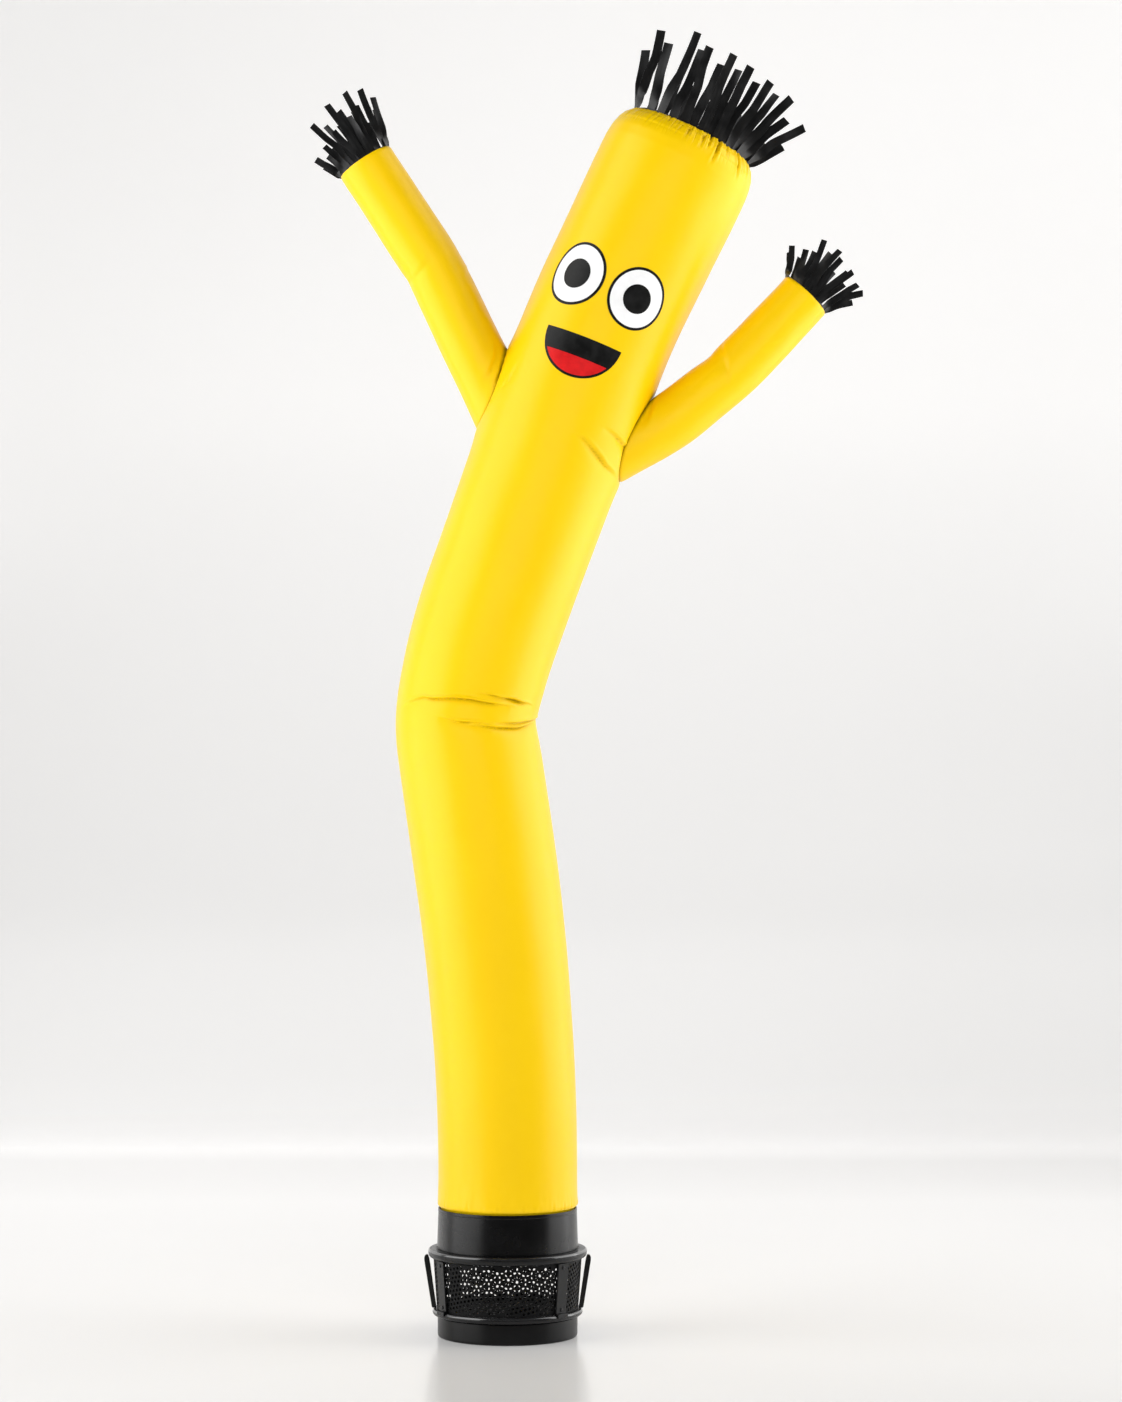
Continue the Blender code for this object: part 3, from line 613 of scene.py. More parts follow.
def sleeve(name, node, table, creases, seed, cols=112, inner_cols=28, rows=104):
    """A sleeve whose root follows the body's surface and whose cuff is hemmed. Returns the object and its cloth's length."""
    azimuth = np.degrees(2 * math.pi * np.arange(cols) / cols)
    fine = np.linspace(table[0, 0], table[-1, 0], 700)
    point, along, right, back = frames(table, fine)
    radius = smooth(table, fine, 3)
    arc = np.concatenate([[0], np.cumsum(np.linalg.norm(np.diff(point, axis=0), axis=1))])
    # where each of the sleeve's straight lines leaves the body
    starts = np.empty(cols)
    seam = []
    for k, a in enumerate(np.radians(azimuth)):
        line = point + radius[:, None] * (math.cos(a) * right + math.sin(a) * back)
        deep = inside_body(line)
        outside = np.nonzero(deep < 0.0035)[0]
        starts[k] = arc[outside[0]]
        seam.append(line[np.nonzero(deep < 0.0004)[0][0]] - 0.0015 * (math.cos(a) * right[0] + math.sin(a) * back[0]))
    starts = np.convolve(np.concatenate([starts[-2:], starts, starts[:2]]), np.ones(5) / 5, "valid") - 0.003
    whole = arc[-1]
    share = np.concatenate([[-0.004, -0.002], np.linspace(0, 0.03, 9)[:-1], np.linspace(0.03, 1, rows - 10)])

    def at(azimuth_deg, starts_here, share_here):
        a = np.radians(azimuth_deg)
        s = starts_here + share_here * (whole - starts_here)
        shape = np.broadcast(s, a).shape
        s, a = np.broadcast_to(s, shape).ravel(), np.broadcast_to(a, shape).ravel()
        z = np.interp(s, arc, fine)
        p, t, rt, bk = frames(table, z)
        r = smooth(table, z, 3)
        from_root = s - np.broadcast_to(starts_here, shape).ravel()
        from_end = whole - s
        out = np.cos(a)[:, None] * rt + np.sin(a)[:, None] * bk
        h = crease_height(np.degrees(a), z, r, creases)
        deep = inside_body(p + r[:, None] * out)
        h += 0.0030 * np.exp(-np.clip(-deep, 0, 1) / 0.016) - 0.0048 * np.exp(-np.abs(deep - 0.0008) / 0.0028)
        h += 0.0008 * wave_noise(a, s, seed, 1.2, 3.0) * ease(from_root, 0.0, 0.05) * ease(from_end, 0.0, 0.03)
        h -= 0.0007 * np.exp(-(((from_end - 0.0135) / 0.0016) ** 2)) * (0.6 + 0.4 * np.cos(a * 44))
        h += 0.0005 * np.exp(-(((from_end - 0.0050) / 0.004) ** 2))
        h -= 0.0010 * np.exp(-from_end / 0.0012)
        h += 0.0006 * wave_noise(a, 0 * s, seed + 3, 6.0, 0.0) * np.exp(-from_end / 0.02)
        placed = p + (r + h)[:, None] * out
        return placed.reshape(*shape, 3), np.stack([a * 0.062, s], -1).reshape(*shape, 2), out.reshape(*shape, 3), h.reshape(shape)

    outer, uv_outer, outward, folds_at = at(azimuth[None, :], starts[None, :], share[:, None])
    pick = cols // inner_cols
    keep = [*range(0, 12), *range(12, len(share) - 1, 3), len(share) - 1]
    inner, uv_inner = inner_face(outer, outward, folds_at, keep, pick), uv_outer[keep][:, ::pick]
    obj = cloth_tube(name, outer, inner, uv_outer, uv_inner, YELLOW)
    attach(obj, "root")
    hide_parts(node)
    # painted shade: a thin dark-brown tube laid down in the groove along the sleeve's root stands for the shade in the
    # seam
    seam = np.array(seam)
    for _ in range(3):
        seam = (np.roll(seam, 1, 0) + 2 * seam + np.roll(seam, -1, 0)) / 4
    run = unit(np.roll(seam, -1, 0) - np.roll(seam, 1, 0))
    over = unit(np.cross(run, seam - seam.mean(0)))
    beside = np.cross(run, over)
    turn = 2 * math.pi * np.arange(8) / 8
    ring = seam[:, None] + 0.0012 * (np.cos(turn)[None, :, None] * over[:, None] + np.sin(turn)[None, :, None] * beside[:, None])
    loop = np.concatenate([ring, ring[:1]]).reshape(-1, 3)
    faces = grid_faces(cols + 1, 8) % (cols * 8)
    seam_shade_tube = make(name + "_seam_shade", loop[: cols * 8], faces, SEAM_SHADE, np.stack([np.repeat(np.arange(cols) * 0.004, 8), np.tile(turn * 0.0012, cols)], 1))
    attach(seam_shade_tube, "root")
    return obj, whole - starts.mean()


left_sleeve, left_long = sleeve("sleeve_cloth_left", "arm_left", ARM_LEFT, LEFT_CREASES, 31)
right_sleeve, right_long = sleeve("sleeve_cloth_right", "arm_right", ARM_RIGHT, RIGHT_CREASES, 47)

# ---------------------------------------------------------------- fringes

# The front strips of each comb. foot: place across the opening as a share of its radius, low and high: sideways lean under
# and over the strip's bend, bend: where that is along it, tall: metres, out: lean towards the front, roll: turn of the strip's tip.
HEAD_STRIPS = [
    # foot, low, high, bend, tall, out, roll
    (-0.975, -0.115, -0.290, 0.66, 0.189, 0.02, 0.10), (-0.750, -0.150, -0.190, 0.50, 0.155, 0.10, -0.30), (-0.580, -0.040, -0.060, 0.55, 0.196, 0.16, 0.20),
    (-0.370, -0.090, -0.070, 0.45, 0.163, 0.12, -0.25), (-0.160, -0.110, -0.090, 0.60, 0.175, 0.20, 0.15), (-0.040, -0.020, -0.040, 0.55, 0.151, 0.12, -0.35),
    (0.130, -0.030, -0.045, 0.50, 0.182, 0.22, 0.25), (0.270, -0.005, -0.015, 0.60, 0.158, 0.12, -0.20), (0.390, 0.005, 0.030, 0.55, 0.176, 0.20, 0.30),
    (0.480, 0.055, 0.080, 0.50, 0.154, 0.12, -0.30), (0.620, 0.080, 0.120, 0.55, 0.171, 0.18, 0.20), (0.720, 0.150, 0.210, 0.60, 0.157, 0.10, -0.35),
    (0.800, 0.240, 0.360, 0.62, 0.171, 0.12, 0.15), (0.880, 0.400, 0.540, 0.50, 0.132, 0.06, -0.30), (0.970, 0.560, 0.760, 0.55, 0.154, 0.02, 0.20),
]
LEFT_STRIPS = [
    # foot, low, high, bend, tall, out, roll
    (-0.980, -0.300, -0.480, 0.50, 0.070, 0.00, 0.15), (-0.800, -0.260, -0.330, 0.50, 0.053, 0.08, -0.30), (-0.600, -0.210, -0.260, 0.45, 0.073, 0.04, 0.25),
    (-0.400, -0.190, -0.240, 0.55, 0.127, 0.14, 0.15), (-0.220, -0.180, -0.190, 0.50, 0.106, 0.05, -0.30), (-0.080, -0.170, -0.150, 0.50, 0.087, 0.12, 0.35),
    (0.060, -0.060, -0.100, 0.60, 0.141, 0.16, -0.15), (0.200, -0.040, -0.040, 0.50, 0.118, 0.06, 0.30), (0.300, 0.090, -0.010, 0.45, 0.094, 0.14, -0.40),
    (0.470, 0.080, 0.090, 0.60, 0.146, 0.18, 0.15), (0.620, 0.120, 0.150, 0.50, 0.109, 0.06, -0.25), (0.900, 0.160, 0.215, 0.50, 0.139, 0.12, 0.20),
    (0.940, 0.240, 0.270, 0.50, 0.114, 0.04, -0.30), (0.985, 0.200, 0.240, 0.50, 0.090, 0.02, 0.20),
]
RIGHT_STRIPS = [
    # foot, low, high, bend, tall, out, roll
    (-0.980, -0.520, -0.920, 0.64, 0.071, 0.02, 0.10), (-0.660, -0.460, -0.540, 0.55, 0.075, 0.08, -0.25), (-0.450, -0.340, -0.380, 0.55, 0.080, 0.04, 0.30),
    (-0.270, -0.330, -0.420, 0.60, 0.115, 0.16, 0.15), (-0.100, -0.200, -0.120, 0.50, 0.098, 0.06, -0.30), (0.060, -0.240, -0.010, 0.45, 0.117, 0.14, 0.20),
    (0.200, -0.090, -0.010, 0.50, 0.105, 0.05, -0.20), (0.330, 0.090, 0.150, 0.50, 0.094, 0.14, 0.30), (0.480, 0.120, 0.200, 0.50, 0.103, 0.06, -0.20),
    (0.850, 0.200, 0.340, 0.55, 0.095, 0.10, 0.20), (0.950, 0.240, 0.700, 0.66, 0.097, 0.02, -0.25),
]


def comb(name, node, table, rim, strips, wide, band, seed, sections=12, thick=0.0007):
    """Cut strips on one band inside a tube's open end. The front ones follow their table, and those behind have shorter, uneven copies of its leans."""
    rng = random.Random(seed)
    point, along, right, back = (v[0] for v in frames(table, [table[-1, 0]]))
    verts, faces, uv = [], [], []
    cols = 96
    levels = [-band, -band * 0.5, -0.001, 0.003]
    for skin in (0, 1):
        for up in levels:
            for k in range(cols):
                a = 2 * math.pi * k / cols
                r = rim - 0.0012 - skin * thick + 0.0005 * math.sin(7 * a + seed) + 0.0003 * math.sin(17 * a)
                verts.append(point + r * (math.cos(a) * right + math.sin(a) * back) + (up + 0.0010 * math.sin(5 * a + seed) * (up > 0)) * along)
                uv.append((a * rim, up))
    n = len(levels)
    faces += grid_faces(n, cols, 0).tolist() + grid_faces(n, cols, n * cols, flip=True).tolist()
    for k in range(cols):
        j = (k + 1) % cols
        faces.append([n * cols + k, n * cols + j, j, k])
        top, itop = (n - 1) * cols, (2 * n - 1) * cols
        faces.append([top + k, top + j, itop + j, itop + k])
    area = 2 * math.pi * rim * (band + 0.003)
    rows = [(foot, low, high, bend, tall, -out, roll, -math.acos(foot), 0.0020 + 0.0026 * (k % 2)) for k, (foot, low, high, bend, tall, out, roll) in enumerate(strips)]
    for k, (foot, low, high, bend, tall, out, roll) in enumerate(strips):
        jitter = rng.uniform(-0.014, 0.014)
        place = max(-0.97, min(0.97, foot + rng.uniform(-0.015, 0.015)))
        rows.append((place, low + jitter, high + jitter + rng.uniform(-0.02, 0.02), rng.uniform(0.35, 0.7), tall * rng.uniform(0.66, 0.94), out + rng.uniform(0.02, 0.12), -roll, math.acos(place), 0.0020 + 0.0026 * (k % 2)))
    for k, (foot, low, high, bend, tall, out, roll, azimuth, inward) in enumerate(rows):
        base_r = rim - inward
        width = wide * rng.uniform(0.92, 1.08)
        outward = math.cos(azimuth) * right + math.sin(azimuth) * back
        around = -math.sin(azimuth) * right + math.cos(azimuth) * back
        if around @ right < 0:
            around = -around
        here = point + base_r * outward - 0.006 * along
        first = len(verts)
        step = (tall + 0.006) / sections
        flick = rng.uniform(-0.10, 0.10)
        jog_at, jog_size = rng.uniform(0.25, 0.60), rng.choice((-1, 1)) * rng.uniform(0.08, 0.20)
        for s in range(sections + 1):
            t = s / sections
            turned_over = float(ease(t, bend - 0.10, bend + 0.10))
            jog = jog_size * float(ease(t, jog_at - 0.05, jog_at + 0.05) - ease(t, jog_at + 0.16, jog_at + 0.26))
            lean = low + (high - low) * turned_over + jog + 0.030 * math.sin(9 * t + k)
            deep = out * (0.6 + 0.8 * t) + flick * float(ease(t, 0.5, 0.9)) + 0.03 * math.sin(7 * t + 2 * k)
            heading = unit(along + lean * right + deep * back)
            if s:
                here = here + heading * step
            facing = float(ease(t, 0.05, 0.40))
            side = unit(around * (1 - facing) + right * facing)
            side = unit(side - heading * (side @ heading))
            turn = roll * float(ease(t, 0.25, 1.0)) + 0.22 * math.sin(5.0 * t + 1.7 * k) * facing
            side = side * math.cos(turn) + np.cross(heading, side) * math.sin(turn)
            normal = np.cross(side, heading)
            narrow = 1 - 0.13 * t
            cup = 0.0016 * math.sin(4 * t + k)
            half = width / 2 * narrow
            for sign, c in ((-1, 0.0), (0, cup), (1, 0.0)):
                verts.append(here + side * half * sign + normal * (c + thick / 2) + heading * 0.0012 * sign * (s == sections) * math.sin(3.0 * k))
                uv.append((k * 0.03 + half * sign, t * tall))
            for sign, c in ((1, 0.0), (0, cup), (-1, 0.0)):
                verts.append(here + side * half * sign + normal * (c - thick / 2) + heading * 0.0012 * sign * (s == sections) * math.sin(3.0 * k))
                uv.append((k * 0.03 + half * sign, t * tall))
        for s in range(sections):
            for i in range(6):
                j = (i + 1) % 6
                a = first + s * 6
                faces.append([a + i, a + 6 + i, a + 6 + j, a + j])
        faces.append([first + 0, first + 1, first + 4, first + 5])
        faces.append([first + 1, first + 2, first + 3, first + 4])
        last = first + sections * 6
        faces.append([last + 5, last + 4, last + 1, last + 0])
        faces.append([last + 4, last + 3, last + 2, last + 1])
        area += width * 0.97 * tall
    obj = make(name, verts, faces, BLACK_STRIP, uv, angle=30)
    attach(obj, "root")
    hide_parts(node)
    return obj, area


HEAD_RIM = float(body_radius(np.array([TOP]))[0]) - THICK
head_fringe, head_area = comb("head_fringe_strips", "head_fringe", BODY, HEAD_RIM, HEAD_STRIPS, 0.0224, 0.022, 7)
left_fringe, left_area = comb("hand_fringe_strips_left", "hand_fringe_left", ARM_LEFT, ARM_LEFT[-1, 3] - THICK, LEFT_STRIPS, 0.0164, 0.014, 21)
right_fringe, right_area = comb("hand_fringe_strips_right", "hand_fringe_right", ARM_RIGHT, ARM_RIGHT[-1, 3] - THICK, RIGHT_STRIPS, 0.0164, 0.014, 5)

# ---------------------------------------------------------------- face: plain patches of printed cloth, laid on the head

FACE_AZ = -97.0  # degrees round the tube, the face's middle
FACE_Z = 2.300  # height of the middle line at the face's middle


def on_head(u, v, lift):
    """Places u metres to the right and v metres up from the face's middle, this far off the cloth."""
    u, v = np.asarray(u, float), np.asarray(v, float)
    z = FACE_Z + v * 0.905
    r = body_radius(z)
    placed, normal, _ = body_surface(z, FACE_AZ + np.degrees(u / r), lift)
    return placed, normal


def patch(name, outline, lift, material, rings=10, thick=0.00025, centre=None):
    """A thin closed patch over an outline of (u, v), its faces in rings round its centre so that it follows the head."""
    outline = np.array(outline, float)
    mid = outline.mean(0) if centre is None else np.array(centre, float)
    n = len(outline)
    shares = (np.arange(rings) + 1) / rings
    uv = np.concatenate([[mid], *[mid + (outline - mid) * s for s in shares]])
    top, _ = on_head(uv[:, 0], uv[:, 1], lift + thick)
    low, _ = on_head(uv[:, 0], uv[:, 1], lift)
    verts = np.concatenate([top, low])
    faces = []
    for half, flip in ((0, False), (len(uv), True)):
        for k in range(n):
            tri = [half, half + 1 + k, half + 1 + (k + 1) % n]
            faces.append(tri[::-1] if flip else tri)
        faces += grid_faces(rings, n, half + 1, flip=flip).tolist()
    edge = 1 + (rings - 1) * n
    for k in range(n):
        j = (k + 1) % n
        faces.append([edge + j, edge + k, len(uv) + edge + k, len(uv) + edge + j])
    obj = make(name, verts, faces, material, np.concatenate([uv, uv]), angle=50)
    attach(obj, "root")
    return obj


def oval(u, v, a, b, tilt=0.0, n=72):
    t = 2 * math.pi * np.arange(n) / n
    x, y = a * np.cos(t), b * np.sin(t)
    c, s = math.cos(tilt), math.sin(tilt)
    return np.stack([u + x * c - y * s, v + x * s + y * c], 1)


EYE_U, EYE_V, EYE_A, EYE_B = 0.0745, 0.010, 0.0600, 0.0660
for side, label in ((-1, "left"), (1, "right")):
    patch("eye_rim_" + label, oval(side * EYE_U, EYE_V, EYE_A + 0.0062, EYE_B + 0.0062), 0.0004, BLACK_PRINT)
    patch("eye_white_" + label, oval(side * EYE_U, EYE_V, EYE_A, EYE_B), 0.0008, WHITE_PRINT)
    patch("pupil_" + label, oval(side * EYE_U, EYE_V, 0.0320, 0.0335, n=56), 0.0012, BLACK_PRINT, 6)

MOUTH_V, MOUTH_A, MOUTH_DEEP = -0.116, 0.090, 0.094
arc = np.linspace(math.pi, 2 * math.pi, 49)
mouth = np.concatenate([
    np.stack([MOUTH_A * np.cos(arc), MOUTH_V + MOUTH_DEEP * np.sin(arc)], 1),
    np.stack([np.linspace(MOUTH_A, -MOUTH_A, 33)[1:-1], MOUTH_V + 0 * np.linspace(0, 1, 31)], 1),
])
patch("mouth", mouth, 0.0004, BLACK_PRINT, 12, centre=(0.0, MOUTH_V - 0.030))
low = np.linspace(math.radians(212), math.radians(328), 33)
inset = 0.0055
tongue_edge = np.stack([(MOUTH_A - inset) * np.cos(low), MOUTH_V + (MOUTH_DEEP - inset) * np.sin(low)], 1)
top_line = np.linspace(tongue_edge[-1, 0], tongue_edge[0, 0], 25)[1:-1]
tongue = np.concatenate([tongue_edge, np.stack([top_line, tongue_edge[0, 1] + 0 * top_line], 1)])
patch("tongue", tongue, 0.0008, RED_PRINT, 8, centre=(0.0, MOUTH_V - 0.056))

# ---------------------------------------------------------------- base


def rounded(profile, radius=0.0012, steps=4):
    """The closed profile with each corner cut to a small arc. A corner on the axis stays."""
    pts = [np.array(p, float) for p in profile]
    found = []
    n = len(pts)
    for i, p in enumerate(pts):
        before, after = pts[i - 1] - p, pts[(i + 1) % n] - p
        la, lb = np.linalg.norm(before), np.linalg.norm(after)
        if p[0] < 1e-6 or la < 1e-9 or lb < 1e-9:
            found.append(p)
            continue
        r = min(radius, 0.42 * la, 0.42 * lb)
        a, b = before / la, after / lb
        if abs(a @ b + 1) < 0.02:
            found.append(p)
            continue
        for k in range(steps + 1):
            t = k / steps
            found.append((1 - t) ** 2 * (p + a * r) + 2 * t * (1 - t) * p + t * t * (p + b * r))
    return np.array(found)


def turned(name, profile, material, node=None, slot="black_plastic", sides=144, at=(0, 0), angle=32, edge_highlight=None):
    """The ring or disc that a profile of (radius, height) makes, run outside down and inside up. The last argument
    gives the (least radius, lowest, highest) of the faces that get a lighter, glossier black; the lighter colour is a
    painted highlight along the edge.
    """
    profile = np.array(profile, float)
    a = 2 * math.pi * np.arange(sides) / sides
    if profile[0][0] > 1e-6:
        ring = np.stack([profile[:, 0, None] * np.cos(a), profile[:, 0, None] * np.sin(a), profile[:, 1, None] + 0 * a], -1)
        verts = ring.reshape(-1, 3)
        rows = len(profile)
        faces = grid_faces(rows, sides).tolist()
        faces += [[(rows - 1) * sides + k, (rows - 1) * sides + (k + 1) % sides, (k + 1) % sides, k] for k in range(sides)]
    else:
        body_rows_ = profile[1:-1]
        ring = np.stack([body_rows_[:, 0, None] * np.cos(a), body_rows_[:, 0, None] * np.sin(a), body_rows_[:, 1, None] + 0 * a], -1)
        verts = np.concatenate([ring.reshape(-1, 3), [[0, 0, profile[0][1]], [0, 0, profile[-1][1]]]])
        rows = len(body_rows_)
        faces = grid_faces(rows, sides).tolist()
        top, low = rows * sides, rows * sides + 1
        faces += [[(k + 1) % sides, k, top] for k in range(sides)]
        faces += [[(rows - 1) * sides + k, (rows - 1) * sides + (k + 1) % sides, low] for k in range(sides)]
    verts = verts + np.array([at[0], at[1], 0])
    faces = [f[::-1] for f in faces]
    # the faces that get the lighter, glossier black of the painted edge highlight
    edge_highlight_faces = None
    if edge_highlight:
        middles = np.array([verts[list(f)].mean(0) for f in faces])
        reach = np.hypot(middles[:, 0] - at[0], middles[:, 1] - at[1])
        edge_highlight_faces = (reach > edge_highlight[0]) & (middles[:, 2] > edge_highlight[1]) & (middles[:, 2] < edge_highlight[2])
    obj = make(name, verts, faces, material, angle=angle, materials=[material, EDGE_HIGHLIGHT_METAL] if edge_highlight else None, face_material=edge_highlight_faces)
    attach(obj, "root")
    if node:
        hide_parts(node)
    return obj


COLLAR = [(0.1516, 0.2867), (0.1546, 0.2867), (0.1549, 0.2820), (0.1549, 0.2795), (0.1543, 0.2788), (0.1546, 0.2778), (0.1572, 0.1985), (0.1572, 0.1963), (0.1540, 0.1963), (0.1514, 0.2700)]
FLANGE = [
    (0.1520, 0.1960), (0.1585, 0.1960), (0.1588, 0.1948), (0.1600, 0.1948), (0.1603, 0.1960), (0.1740, 0.1960), (0.1762, 0.1948), (0.1770, 0.1925), (0.1770, 0.1870), (0.1762, 0.1828), (0.1738, 0.1793),
    (0.1700, 0.1772), (0.1650, 0.1765), (0.1520, 0.1765),
]
LOWER_RING = [
    (0.1500, 0.0623), (0.1620, 0.0623), (0.1650, 0.0614), (0.1668, 0.0592), (0.1673, 0.0560), (0.1668, 0.0525), (0.1645, 0.0492), (0.1600, 0.0478), (0.1500, 0.0478),
]
BASE_DRUM = [(0.0, 0.0475), (0.1535, 0.0475), (0.1560, 0.0455), (0.1560, 0.0060), (0.1548, 0.0018), (0.1515, 0.0), (0.0, 0.0)]

collar = turned("collar_duct", rounded(COLLAR, 0.0009), PLASTIC, "collar")
flange = turned("flange_band", rounded(FLANGE, 0.0016), METAL, "flange_ring", "black_metal", edge_highlight=(0.1735, 0.1915, 0.1990))
lower = turned("lower_band", rounded(LOWER_RING, 0.0014), METAL, "lower_ring", "black_metal", edge_highlight=(0.1625, 0.0575, 0.0650))
drum = turned("base_can", rounded(BASE_DRUM, 0.0012), CAN_PLASTIC, "base_drum")
for node in ("cage_floor",):
    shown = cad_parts[node]
    shown.data.materials.clear()
    shown.data.materials.append(MESH_METAL)


def perforated():
    """The grille: a flat strip punched all over with round holes in a triangular pattern, laid askew, and rolled into a drum. Its seam lies behind a post."""
    z_low, z_high = 0.0626, 0.1762
    r_out, r_in, hole, pitch, askew = 0.1576, 0.1562, HOLE, HOLE_PITCH, math.radians(HOLE_ASKEW)
    round_about = 2 * math.pi * (r_out + GRILLE_FLARE / 2)
    tall = z_high - z_low
    centres = []
    for i in range(-160, 161):
        for j in range(-160, 161):
            x, y = (i + 0.5 * (j % 2)) * pitch, j * pitch * math.sqrt(0.75)
            u = x * math.cos(askew) - y * math.sin(askew) + round_about / 2
            v = x * math.sin(askew) + y * math.cos(askew) + tall / 2
            if 0.004 < u < round_about - 0.004 and hole + 0.0022 < v < tall - hole - 0.0022:
                centres.append((u, v))
    centres = np.array(centres)
    sides = 10
    turn = 2 * math.pi * (np.arange(sides) + 0.5) / sides
    along_edge = 240
    points = [(round_about * k / along_edge, 0.0) for k in range(along_edge + 1)] + [(round_about * k / along_edge, tall) for k in range(along_edge + 1)]
    points += [(0.0, tall * k / 24) for k in range(1, 24)] + [(round_about, tall * k / 24) for k in range(1, 24)]
    edge_count = len(points)
    rings = np.stack([centres[:, None, 0] + hole * np.cos(turn), centres[:, None, 1] + hole * np.sin(turn)], -1).reshape(-1, 2)
    points = np.concatenate([np.array(points), rings])
    edges = [(edge_count + h * sides + k, edge_count + h * sides + (k + 1) % sides) for h in range(len(centres)) for k in range(sides)]
    result = delaunay_2d_cdt([Vector(p) for p in points.tolist()], edges, [], 0, 1e-7)
    flat = np.array([tuple(v) for v in result[0]])
    tris = np.array([f for f in result[2] if len(f) == 3])
    # a triangle inside a hole joins three points of one ring
    origin = np.array([o[0] if len(o) else -1 for o in result[3]])
    ring_of = np.where(origin >= edge_count, (origin - edge_count) // sides, -1 - np.arange(len(origin)))
    t = ring_of[tris]
    tris = tris[~((t[:, 0] == t[:, 1]) & (t[:, 1] == t[:, 2]))]
    corner = flat[tris]
    spin = (corner[:, 1, 0] - corner[:, 0, 0]) * (corner[:, 2, 1] - corner[:, 0, 1]) - (corner[:, 2, 0] - corner[:, 0, 0]) * (corner[:, 1, 1] - corner[:, 0, 1])
    tris = tris[np.abs(spin) > 1e-12]
    spin = spin[np.abs(spin) > 1e-12]
    tris[spin < 0] = tris[spin < 0][:, ::-1]
    # the strip's two ends become one line of points
    closing = {round(float(v), 7): k for k, (u, v) in enumerate(flat) if u < 1e-6}
    same = np.arange(len(flat))
    for k, (u, v) in enumerate(flat):
        if u > round_about - 1e-6:
            same[k] = closing[round(float(v), 7)]
    tris = same[tris]
    angle = flat[:, 0] / round_about * 2 * math.pi + math.radians(137.0)
    flare = GRILLE_FLARE * flat[:, 1] / tall
    shells = [np.stack([(r + flare) * np.cos(angle), (r + flare) * np.sin(angle), flat[:, 1] + z_low], 1) for r in (r_out, r_in)]
    n = len(flat)
    faces = tris.tolist() + (tris[:, ::-1] + n).tolist()
    # walls along every edge that only one triangle has
    ends = np.concatenate([tris[:, [0, 1]], tris[:, [1, 2]], tris[:, [2, 0]]])
    seen = {(int(x), int(y)) for x, y in ends}
    for x, y in seen:
        if (y, x) not in seen:
            faces.append([y, x, x + n, y + n])
    verts = np.concatenate(shells)
    used = np.unique(np.concatenate([np.array(f) for f in faces]))
    new = np.full(len(verts), -1)
    new[used] = np.arange(len(used))
    obj = make("grille_sheet", verts[used], [[int(new[k]) for k in f] for f in faces], MESH_METAL, angle=30)
    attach(obj, "root")
    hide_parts("grille")


HOLE, HOLE_PITCH, HOLE_ASKEW = 0.0034, 0.0108, 13.0
GRILLE_FLARE = 0.0078
perforated()


def bar(name, node, outline, wide, azimuth, material, bevel=0.0008, crown=0.0):
    """A bar over an outline of (radius, height), this wide across, at an azimuth, its edges bevelled."""
    turn = math.radians(azimuth)
    out, side = np.array([math.cos(turn), math.sin(turn), 0]), np.array([-math.sin(turn), math.cos(turn), 0])
    n = len(outline)
    verts = [out * a + np.array([0, 0, b]) + side * s for s in (-wide / 2, wide / 2) for a, b in outline]
    faces = [list(range(n)), list(range(2 * n - 1, n - 1, -1))]
    faces += [[n + k, n + (k + 1) % n, (k + 1) % n, k] for k in range(n)]
    obj = make(name, verts, faces, material, angle=30)
    cut = obj.modifiers.new("edges", "BEVEL")
    cut.width, cut.segments, cut.limit_method, cut.angle_limit = bevel, 3, "ANGLE", math.radians(25)
    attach(obj, "root")
    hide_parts(node)
    return obj


def screw(name, azimuth, height, radius_at, face_tilt=0.0, size=0.0042, shift=0.0):
    """A pan-head screw with a cross recess, standing out of a bar's outer face."""
    turn = math.radians(azimuth)
    out, side, up = np.array([math.cos(turn), math.sin(turn), 0]), np.array([-math.sin(turn), math.cos(turn), 0]), np.array([0, 0, 1.0])
    axis = unit(out * math.cos(face_tilt) + up * math.sin(face_tilt))
    up2 = np.cross(axis, side) * -1
    n = 32
    rows = [(1.0, -0.0004), (1.0, 0.0008), (0.94, 0.0014), (0.80, 0.0019), (0.62, 0.0021), (0.50, 0.0021)]
    verts, faces = [], []
    centre = out * radius_at + up * height + side * shift

    def place(x, y, d):
        return centre + side * x + up2 * y + axis * d

    for share, d in rows:
        for k in range(n):
            a = 2 * math.pi * k / n
            verts.append(place(size * share * math.cos(a), size * share * math.sin(a), d))
    faces += grid_faces(len(rows), n).tolist()
    # the recess: a cross-shaped floor reached by a ring whose radius follows the cross
    ring = len(rows) * n
    for d in (0.0021, 0.0007):
        for k in range(n):
            a = 2 * math.pi * k / n
            cross = max(abs(math.cos(a)), abs(math.sin(a)))
            share = 0.44 if cross > 0.97 else 0.14
            verts.append(place(size * share * math.cos(a), size * share * math.sin(a), d))
    faces += [[(len(rows) - 1) * n + k, (len(rows) - 1) * n + (k + 1) % n, ring + (k + 1) % n, ring + k] for k in range(n)]
    faces += [[ring + k, ring + (k + 1) % n, ring + n + (k + 1) % n, ring + n + k] for k in range(n)]
    verts += [place(0, 0, 0.0007), place(0, 0, -0.0004)]
    top, low = len(verts) - 2, len(verts) - 1
    faces += [[ring + n + k, ring + n + (k + 1) % n, top] for k in range(n)]
    faces += [[(k + 1) % n, k, low] for k in range(n)]
    obj = make(name, verts, faces, SCREW, angle=35)
    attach(obj, "root")


